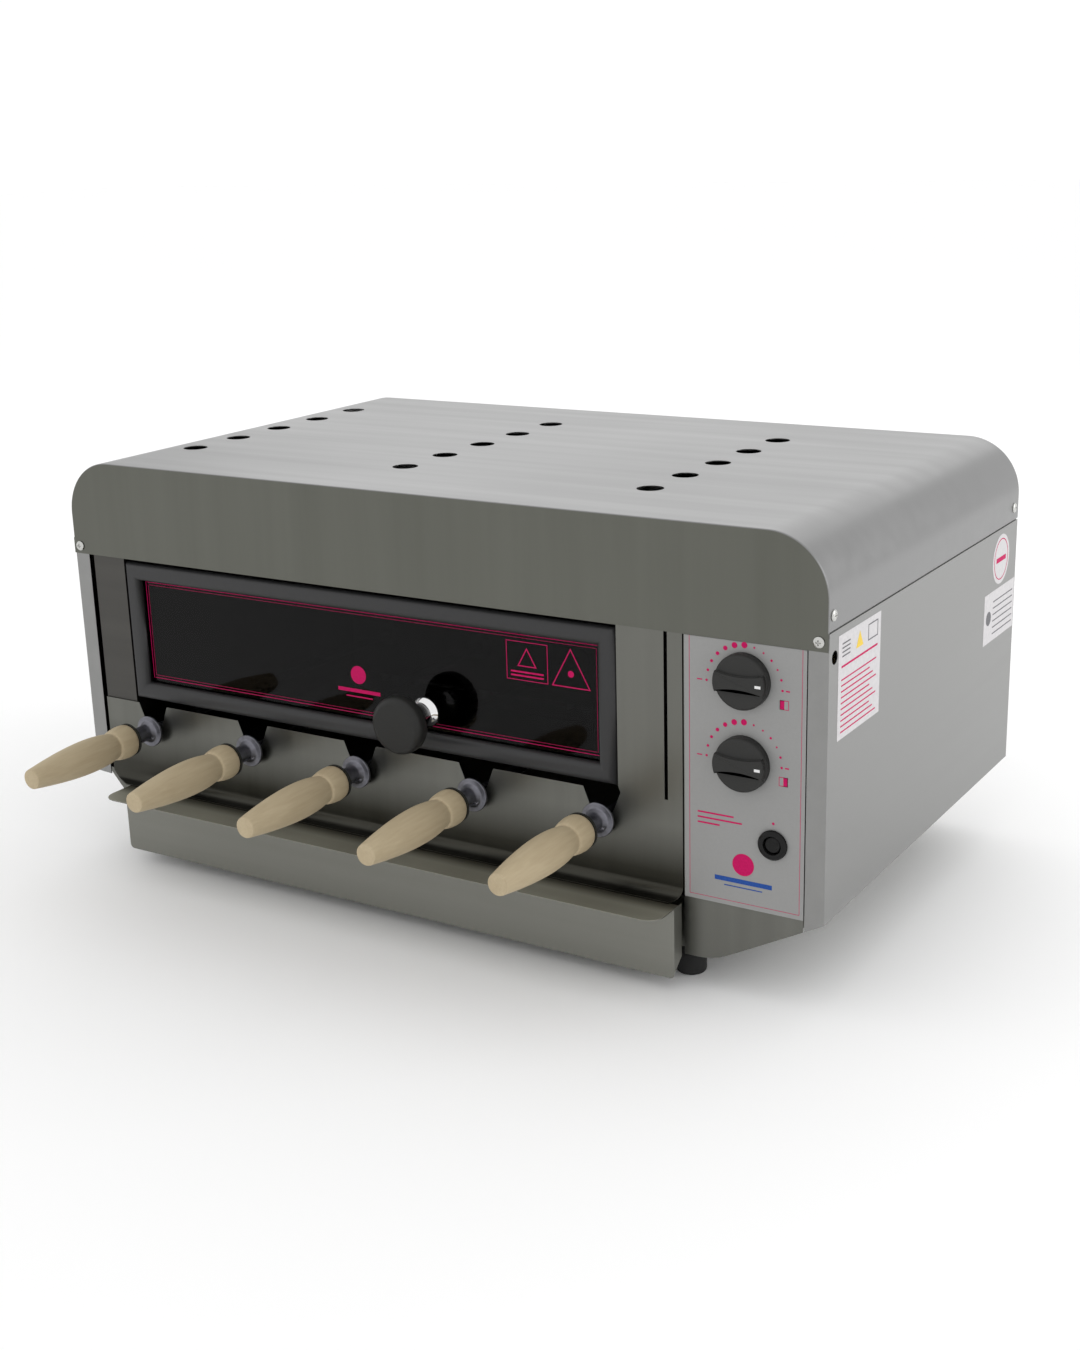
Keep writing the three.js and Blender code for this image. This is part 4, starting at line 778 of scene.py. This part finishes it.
border = rectangle(-0.278, 0.168, 0.166, 0.2515)
inner_border = rectangle(-0.2755, 0.1655, 0.1685, 0.249)
square_mark = rectangle(0.0868, 0.1233, 0.2155, 0.246)
square_inside = [(0.0965, 0.2265), (0.1135, 0.2265), (0.105, 0.2415)]
square_bars = [rectangle(0.0905, 0.1195, 0.2215, 0.2228), rectangle(0.0905, 0.1195, 0.2185, 0.2198)]
triangle_mark = [(0.1265, 0.2155), (0.160, 0.2155), (0.14325, 0.246)]
triangle_dot = disc(0.14325, 0.2262, 0.0026)
door_badge = [disc(-0.055, 0.1985, 0.0075, 32), rectangle(-0.076, -0.034, 0.1835, 0.1865),
              rectangle(-0.068, -0.042, 0.1795, 0.1805)]
glass_print = [*strokes(border, line_width), *strokes(inner_border, thin_line),
               *strokes(square_mark, line_width), *strokes(square_inside, thick_line),
               *strokes(triangle_mark, thick_line), triangle_dot, *square_bars, *door_badge]
give(printed("glass_print", glass_print, glass_front), "door", "label_film", magenta_ink)

# ---------------------------------------------------------------- door knob
# A flat black bakelite disc on a flared chrome stem, screwed through the glass with a nut behind.
# The disc is given by how far it lies in from its rim, the stem and nut by their radii.
knob_low, knob_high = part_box("door_knob")
knob_radius = (knob_high.x - knob_low.x) / 2
stem_start = 0.0165
knob_disc = [(0.0055, 0), (0.0035, 0.0006), (0.0018, 0.0018), (0.0006, 0.0034), (0, 0.0056),
             (0, 0.0105), (0.0006, 0.0122), (0.0022, 0.0137)]
knob_stem = [(0.0105, 0.0148), (0.0092, stem_start), (0.0074, 0.020), (0.0068, 0.026),
             (0.0070, 0.032), (0.0080, 0.0368), (0.0096, 0.0392), (0.0122, 0.0410),
             (0.0125, 0.0427)]
knob_nut = [(0.003, 0.0427), (0.003, 0.0473), (0.006, 0.0473), (0.006, 0.0513)]
knob_stations = [(knob_radius - inset, back) for inset, back in knob_disc] + knob_stem + knob_nut
knob = turned_piece("door_knob_turned",
                    [(radius, knob_low.y + back) for radius, back in knob_stations],
                    (knob_low + knob_high) / 2, 1, 64)
smooth_faces(knob)
bakelite = new_finish("knob_bakelite", (0.018, 0.018, 0.017), 0.42, specular=0.25)
bakelite_haze = noise(bakelite, 300)
vary_roughness(bakelite, bakelite_haze, 0.38, 0.5)
bump(bakelite, bakelite_haze, 0.00003)
chrome = new_finish("knob_chrome", (0.78, 0.78, 0.78), 0.08, metallic=1.0)
vary_roughness(chrome, noise(chrome, 250), 0.06, 0.12)
give(knob, "door", "knob_plastic", bakelite, chrome, stands_for=["door_knob"])
for face in knob.data.polygons:
    if face.center.y > knob_low.y + stem_start:
        face.material_index = 1

# ---------------------------------------------------------------- control label
# A silver-grey printed film stuck over the control panel: a thin border, a ring of growing dots
# round each dial, half-filled squares for the burners, lines of small print and a round badge.
film_edge = 0.0001
label_low, label_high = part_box("control_label")
film = new_finish("label_film", (0.27, 0.27, 0.266), 0.42)
film_grain = noise(film, 500, detail=4)
vary_colour(film, film_grain, (0.266, 0.266, 0.262), (0.276, 0.276, 0.272))
vary_roughness(film, film_grain, 0.36, 0.5)
give(dressed("control_label", film_edge, 1), "casing", "label_film", film,
     stands_for=["control_label"])

dial_centres = []
for name in ("upper_dial", "lower_dial"):
    low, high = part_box(name)
    dial_centres.append(((low.x + high.x) / 2, (low.z + high.z) / 2))
label_front = label_low.y
ring_radius = 0.029
ring_lift = [-0.0036, 0.0009]
dot_turn = 15
dot_sizes = [0.0018, 0.0020, 0.0023, 0.0028, 0.0034, 0.0044, 0.0046, 0.0015, 0.0014, 0.0018, 0.0014,
             0.0018, 0.0018]
burner_mark = 0.0068
burner_mark_line = 0.0004
burner_mark_across = 0.027
border_left = label_low.x + 0.004
border_right = label_high.x - 0.003
border_bottom = label_low.z + 0.0035
hairline = 0.0003
small_print_left = 0.2515
small_print_rights = (0.280, 0.2865, 0.269)
small_print_first = 0.1400
small_print_pitch = 0.0040
small_print_height = 0.0012
spark_dot_rise = 0.016
spark_dot_radius = 0.0011
badge_height = 0.1055
badge_radius = 0.0085

label_print = [rectangle(border_left, border_left + hairline, border_bottom, label_high.z),
               rectangle(border_right - hairline, border_right, border_bottom, label_high.z),
               rectangle(border_left, border_right, border_bottom, border_bottom + hairline)]
for index, (x, z) in enumerate(dial_centres):
    z += ring_lift[index]
    for step, size in enumerate(dot_sizes):
        angle = math.radians(180 - step * dot_turn)
        label_print.append(disc(x + ring_radius * math.cos(angle), z + ring_radius * math.sin(angle),
                                size / 2, 16))
    off_dash = rectangle(x - 0.0365, x - 0.0325, z - 0.0004, z + 0.0004)
    on_dash = rectangle(x + 0.0315, x + 0.0345, z - 0.0005, z + 0.0005)
    label_print += [off_dash, on_dash]
    left = x + burner_mark_across
    top = z - burner_mark
    label_print += strokes(rectangle(left, left + burner_mark, top - burner_mark, top),
                           burner_mark_line)
    filled_left = left + burner_mark / 2 * index
    label_print.append(rectangle(filled_left, filled_left + burner_mark / 2, top - burner_mark, top))
for line, right in enumerate(small_print_rights):
    z = small_print_first - line * small_print_pitch
    label_print.append(rectangle(small_print_left, right, z, z + small_print_height))
igniter_low, igniter_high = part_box("igniter_body")
igniter_middle = (igniter_low + igniter_high) / 2
label_print.append(disc(igniter_middle.x, igniter_middle.z + spark_dot_rise, spark_dot_radius, 6))
badge_x = dial_centres[0][0]
label_print.append(disc(badge_x, badge_height, badge_radius, 32))
give(printed("label_print", label_print, label_front), "casing", "label_film", magenta_ink)

blue_ink = new_finish("blue_ink", (0.02, 0.07, 0.30), 0.55, specular=0.12)
vary_colour(blue_ink, noise(blue_ink, 700), (0.016, 0.06, 0.26), (0.026, 0.085, 0.34))
badge_bars = [rectangle(badge_x - 0.0225, badge_x + 0.0225, 0.0905, 0.0940),
              rectangle(badge_x - 0.0150, badge_x + 0.0150, 0.0872, 0.0880)]
give(printed("badge_bars", badge_bars, label_front), "casing", "label_film", blue_ink)

# ---------------------------------------------------------------- dials
# Two black moulded gas dials on their spindles: a round skirt with a raised waisted grip across it
# and a white mark at one end of the grip. Each clears the label by a hair so that it can turn.
label_gap = 0.0003
dial_skirt = 0.008
spindle_radius = 0.004
skirt_round = [(0, 0.0030), (0.0004, 0.0017), (0.0013, 0.0006), (0.0028, 0)]
grip_inset = 0.0007
grip_root = 0.001
grip_half = 0.0052
grip_round = 0.0012
scoop_radius = 0.070
scoop_length = 0.2
mark_start = 0.0132
mark_end = 0.0176
mark_half = 0.0010
white_mark = new_finish("white_mark", (0.75, 0.75, 0.75), 0.5)
vary_roughness(white_mark, noise(white_mark, 800), 0.42, 0.58)
for name in ("upper_dial", "lower_dial"):
    low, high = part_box(name)
    middle = (low + high) / 2
    radius = (high.x - low.x) / 2
    back = label_front - label_gap
    skirt_face = back - dial_skirt
    grip_foot = skirt_face + grip_root
    stations = [(spindle_radius, high.y), (spindle_radius, back), (radius, back)]
    stations += [(radius - inset, skirt_face + rise) for inset, rise in skirt_round]
    skirt = turned_piece(name + "_knob", stations, middle, 1, 72)
    grip = cylinder("grip", (middle.x, (low.y + grip_foot) / 2, middle.z), radius - grip_inset,
                    grip_foot - low.y, 1, 72)
    for way in (-1, 1):
        scoop_z = middle.z + way * (scoop_radius + grip_half)
        carve(grip, cylinder("scoop", (middle.x, middle.y, scoop_z), scoop_radius, scoop_length,
                             1, 192))
    bpy.ops.object.mode_set(mode='EDIT')
    pick(grip, 'EDGE', lambda place, way: place.y < low.y + on_face)
    bpy.ops.mesh.bevel(offset=grip_round, segments=4, affect='EDGES')
    bpy.ops.object.mode_set(mode='OBJECT')
    carve(skirt, grip, 'UNION')
    smooth_faces(skirt)
    body_name = name + "_body"
    give(skirt, body_name, "dial_plastic", black_plastic, stands_for=[name])
    mark = rectangle(middle.x + mark_start, middle.x + mark_end, middle.z - mark_half,
                     middle.z + mark_half)
    give(printed(name + "_mark", [mark], low.y), body_name, "label_film", white_mark)

# ---------------------------------------------------------------- igniter
# A piezo igniter: a glossy black threaded body with a rounded bezel on the label, and a push
# button sunk in its bore. Both are turned about the same line.
bore_radius = 0.0066
bore_floor = 0.0118
thread_radius = 0.008
bezel_radius = (igniter_high.x - igniter_low.x) / 2
bezel_back = label_front - label_gap
bezel_round = [(bore_radius, 0.0012), (0.0070, 0.0003), (0.0077, 0), (0.0092, 0.0001),
               (0.0104, 0.0006), (0.0111, 0.0014), (bezel_radius, 0.0023)]
button_round = [(0.0016, 0.0011), (0.0036, 0.0007), (0.0050, 0), (0.0057, 0.0002), (0.0062, 0.0009)]
button_radius = 0.0062
gloss_plastic = new_finish("igniter_plastic", (0.006, 0.006, 0.006), 0.16, specular=0.2)
vary_roughness(gloss_plastic, noise(gloss_plastic, 600), 0.12, 0.22)

stations = [(bore_radius, bezel_back + bore_floor)]
stations += [(radius, igniter_low.y + depth) for radius, depth in bezel_round]
stations += [(bezel_radius, bezel_back), (thread_radius, bezel_back),
             (thread_radius, igniter_high.y)]
igniter = turned_piece("igniter_turned", stations, igniter_middle, 1, 56)
smooth_faces(igniter)
give(igniter, "casing", "igniter_plastic", gloss_plastic, stands_for=["igniter_body"])
button_low, button_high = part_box("igniter_button")
stations = [(radius, button_low.y + depth) for radius, depth in button_round]
button = turned_piece("igniter_button_turned", stations + [(button_radius, button_high.y)],
                      igniter_middle, 1, 48)
smooth_faces(button)
give(button, "igniter_button_body", "igniter_plastic", gloss_plastic, stands_for=["igniter_button"])

# ---------------------------------------------------------------- side stickers
# Plain paper stickers on the right side panel: a square sheet with lines of print and a yellow
# triangle near the front, a round seal and a small plate of lines near the rear.
side_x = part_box("right_side_panel")[1].x
print_x = side_x + ink_height
seal_place = (0.221, 0.258)
paper = new_finish("sticker_paper", (0.56, 0.55, 0.56), 0.55)
vary_colour(paper, noise(paper, 300), (0.53, 0.52, 0.53), (0.60, 0.58, 0.59))
yellow_ink = new_finish("yellow_ink", (0.75, 0.52, 0.03), 0.5)
vary_roughness(yellow_ink, noise(yellow_ink, 700), 0.42, 0.58)
grey_ink = new_finish("grey_ink", (0.10, 0.10, 0.11), 0.5)
vary_roughness(grey_ink, noise(grey_ink, 700), 0.42, 0.58)

front_sheet = rectangle(-0.1245, -0.048, 0.203, 0.2785)
rear_seal = disc(*seal_place, 0.021, 48)
rear_plate = rectangle(0.183, 0.2595, 0.191, 0.234)
give(printed("stickers", [front_sheet, rear_seal, rear_plate], 0, side_x), "casing", "label_film",
     paper)

front_heading = rectangle(-0.119, -0.0535, 0.2545, 0.2560)
seal_ring = strokes(disc(*seal_place, 0.0175, 48), 0.0008)
seal_bar = rectangle(0.2090, 0.2330, 0.2560, 0.2600)
front_lines = [rectangle(-0.119, -0.0555 - 0.006 * (row % 3), 0.2075 + row * 0.0042,
                         0.2085 + row * 0.0042) for row in range(10)]
give(printed("sticker_pink_print", [front_heading, *seal_ring, seal_bar, *front_lines], 0, print_x),
     "casing", "label_film", magenta_ink)

yellow_triangle = [(-0.0935, 0.262), (-0.0805, 0.262), (-0.087, 0.2735)]
give(printed("sticker_yellow_print", [yellow_triangle], 0, print_x), "casing", "label_film",
     yellow_ink)

plate_lines = [rectangle(0.205, 0.2555, 0.1965 + row * 0.0055, 0.1975 + row * 0.0055)
               for row in range(6)]
corner_lines = [rectangle(-0.118, -0.104, 0.262 + row * 0.003, 0.263 + row * 0.003)
                for row in range(4)]
corner_frame = strokes(rectangle(-0.0715, -0.0535, 0.262, 0.274), 0.0009)
plate_dot = disc(0.1945, 0.2125, 0.006, 32)
give(printed("sticker_grey_print", [*plate_lines, *corner_lines, *corner_frame, plate_dot], 0,
             print_x), "casing", "label_film", grey_ink)

# ---------------------------------------------------------------- drip drawer
# A folded stainless drawer under the chamber that catches the fat: a flat front with a broad lip
# over it, whose corners are rounded, and a pan behind it. The lip's top is a lighter, yellowish
# copy of the steel as painted light and painted reflection of the wooden grips, darkened towards
# its rear as painted shade under the apron.
tray_edge = 0.0004
# Painted shade: the lip's top darkens from the first distance behind the tray's front to the second.
lip_shade_start = 0.018
lip_shade_end = 0.030
lip_depth = 0.0006
facing_up = 0.7
lip_painted_shade = (0.30, 0.29, 0.27)
tray_low, tray_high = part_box("drip_tray")
tray_steel = brushed_steel("tray_steel", (0.21, 0.21, 0.187), (0.26, 0.26, 0.235), along_x,
                           roughness=0.46)
# Lighter, yellower copy for the lip's top: painted light and painted reflection of the grips.
lit_lip_steel = brushed_steel("lit_lip_steel", (0.42, 0.41, 0.34), (0.50, 0.49, 0.41), along_x, roughness=0.6)
tinted(lit_lip_steel, along_axis(lit_lip_steel, "Y", tray_low.y + lip_shade_start, tray_low.y + lip_shade_end),
       lip_painted_shade)
tray = give(dressed("drip_tray", tray_edge), "drawer", "tray_steel", tray_steel, lit_lip_steel,
            stands_for=["drip_tray"])
# Upward faces at the tray's top take the lighter copy: painted light.
for face in tray.data.polygons:
    if face.normal.z > facing_up and face.center.z > tray_high.z - lip_depth:
        face.material_index = 1

# ---------------------------------------------------------------- skewers
# Each skewer is a zinc-plated rod with a square drive end, a collar disc that runs against the
# apron, a slotted hub, a blackened washer and a tang inside its turned wooden grip.
rod_radius = 0.004
tang_radius = 0.003
square_half = 0.0035
square_length = 0.025
square_root = 0.002
washer_gap = 0.0003
washer_back = 0.0024
# The washer's (radius, distance behind its front), then the hub and collar's (radius, distance
# in front of the apron).
washer = [(0.0140, 0), (0.0142, 0.0004), (0.0142, 0.0014), (0.0138, 0.0018), (0.0078, 0.0026),
          (0.0070, 0.0050)]
hub_and_collar = [(0.0070, 0.0120), (0.0078, 0.0100), (0.0092, 0.0080), (0.0100, 0.0067),
                  (0.0130, 0.0065), (0.0135, 0.0060), (0.0135, 0.0045), (0.0131, 0.0040),
                  (rod_radius, 0.0040)]
slot_inner = 0.0052
slot_outer = 0.0120
slot_half = 0.0009
slot_start = 0.0050
slot_end = 0.0095
slot_turn = math.radians(-32)
apron_face = hood_low.y
zinc = new_finish("skewer_zinc", (0.19, 0.19, 0.215), 0.42, metallic=1.0)
zinc_bloom = noise(zinc, 220, detail=4)
vary_colour(zinc, zinc_bloom, (0.15, 0.15, 0.17), (0.23, 0.23, 0.26))
vary_roughness(zinc, zinc_bloom, 0.36, 0.52)
blackened = new_finish("blackened_steel", (0.03, 0.03, 0.025), 0.5, metallic=0.6)
vary_roughness(blackened, noise(blackened, 400), 0.4, 0.6)

tang_bore = 0.0033
bore_length = 0.042
bore_middle = 0.02
grip_shoulder = [(0.0004, 0.0133), (0.0022, 0.0149), (0.0110, 0.0146), (0.0178, 0.0127)]
grip_groove = [(0.0120, 0.0184), (0.0113, 0.0189)]
grip_belly = [(0.0200, 0.0114), (0.040, 0.0162), (0.070, 0.0146)]
wood = new_finish("grip_wood", (0.50, 0.40, 0.25), 0.62)
wood_grain = noise(wood, 420, (1, 0.06, 1), detail=5, rough=0.6)
wood_tone = noise(wood, 45, (1, 0.25, 1))
wood_nodes, wood_links = wood.node_tree.nodes, wood.node_tree.links
wood_mix = wood_nodes.new("ShaderNodeMath")
wood_mix.operation = 'ADD'
wood_links.new(wood_grain, wood_mix.inputs[0])
wood_links.new(wood_tone, wood_mix.inputs[1])
wood_half = wood_nodes.new("ShaderNodeMath")
wood_half.operation = 'MULTIPLY'
wood_half.inputs[1].default_value = 0.5
wood_links.new(wood_mix.outputs["Value"], wood_half.inputs[0])
vary_colour(wood, wood_half.outputs["Value"], (0.38, 0.30, 0.185), (0.49, 0.405, 0.265))
vary_roughness(wood, wood_grain, 0.55, 0.75)
bump(wood, wood_grain, 0.00012)


def curve_stations(start, lead, follow, end, steps):
    """(radius, distance) stations along one Bezier curve of (distance, radius) points."""
    points = [Vector((*point, 0)) for point in (start, lead, follow, end)]
    knots = geometry.interpolate_bezier(points[0], points[1], points[2], points[3], steps)
    return [(knot.y, knot.x) for knot in knots]


for number in range(1, skewer_count + 1):
    rod_node = f"skewer_{number}_rod"
    grip_node = f"skewer_{number}_handle"
    body_name = f"skewer_{number}"
    rod_low, rod_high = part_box(rod_node)
    grip_low, grip_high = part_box(grip_node)
    centre = (grip_low + grip_high) / 2
    washer_front = grip_high.y + washer_gap
    square_start = rod_high.y - square_length
    stations = [(tang_radius, rod_low.y), (tang_radius, washer_front)]
    stations += [(radius, washer_front + behind) for radius, behind in washer]
    stations += [(radius, apron_face - before) for radius, before in hub_and_collar]
    stations.append((rod_radius, square_start + square_root))
    rod = turned_piece(rod_node + "_turned", stations, centre, 1, 56)
    carve(rod, block("drive_end", (centre.x - square_half, square_start, centre.z - square_half),
                     (centre.x + square_half, rod_high.y, centre.z + square_half)), 'UNION')
    slot_cutter = block("slot", (centre.x + slot_inner, washer_front + slot_start,
                                 centre.z - slot_half),
                        (centre.x + slot_outer, apron_face - slot_end, centre.z + slot_half))
    bpy.ops.object.mode_set(mode='EDIT')
    bpy.ops.mesh.select_all(action='SELECT')
    bpy.ops.transform.rotate(value=slot_turn, orient_axis='Y', center_override=centre)
    bpy.ops.object.mode_set(mode='OBJECT')
    carve(rod, slot_cutter)
    smooth_faces(rod)
    give(rod, body_name, "skewer_steel", zinc, blackened, stands_for=[rod_node])
    for face in rod.data.polygons:
        if washer_front - on_face < face.center.y < washer_front + washer_back:
            face.material_index = 1

    length = grip_high.y - grip_low.y
    grip_stations = [(0.0126, 0.0), *curve_stations(*grip_shoulder, 12), *grip_groove,
                     *curve_stations(*grip_belly, (length - 0.0010, 0.0083), 24),
                     (0.0081, length - 0.0004), (0.0076, length)]
    grip = turned_piece(grip_node + "_turned",
                        [(radius, grip_high.y - distance) for radius, distance in grip_stations],
                        centre, 1, 48)
    carve(grip, cylinder("bore", (centre.x, rod_low.y + bore_middle, centre.z), tang_bore,
                         bore_length, 1, 24))
    smooth_faces(grip)
    give(grip, body_name, "handle_wood", wood, stands_for=[grip_node])
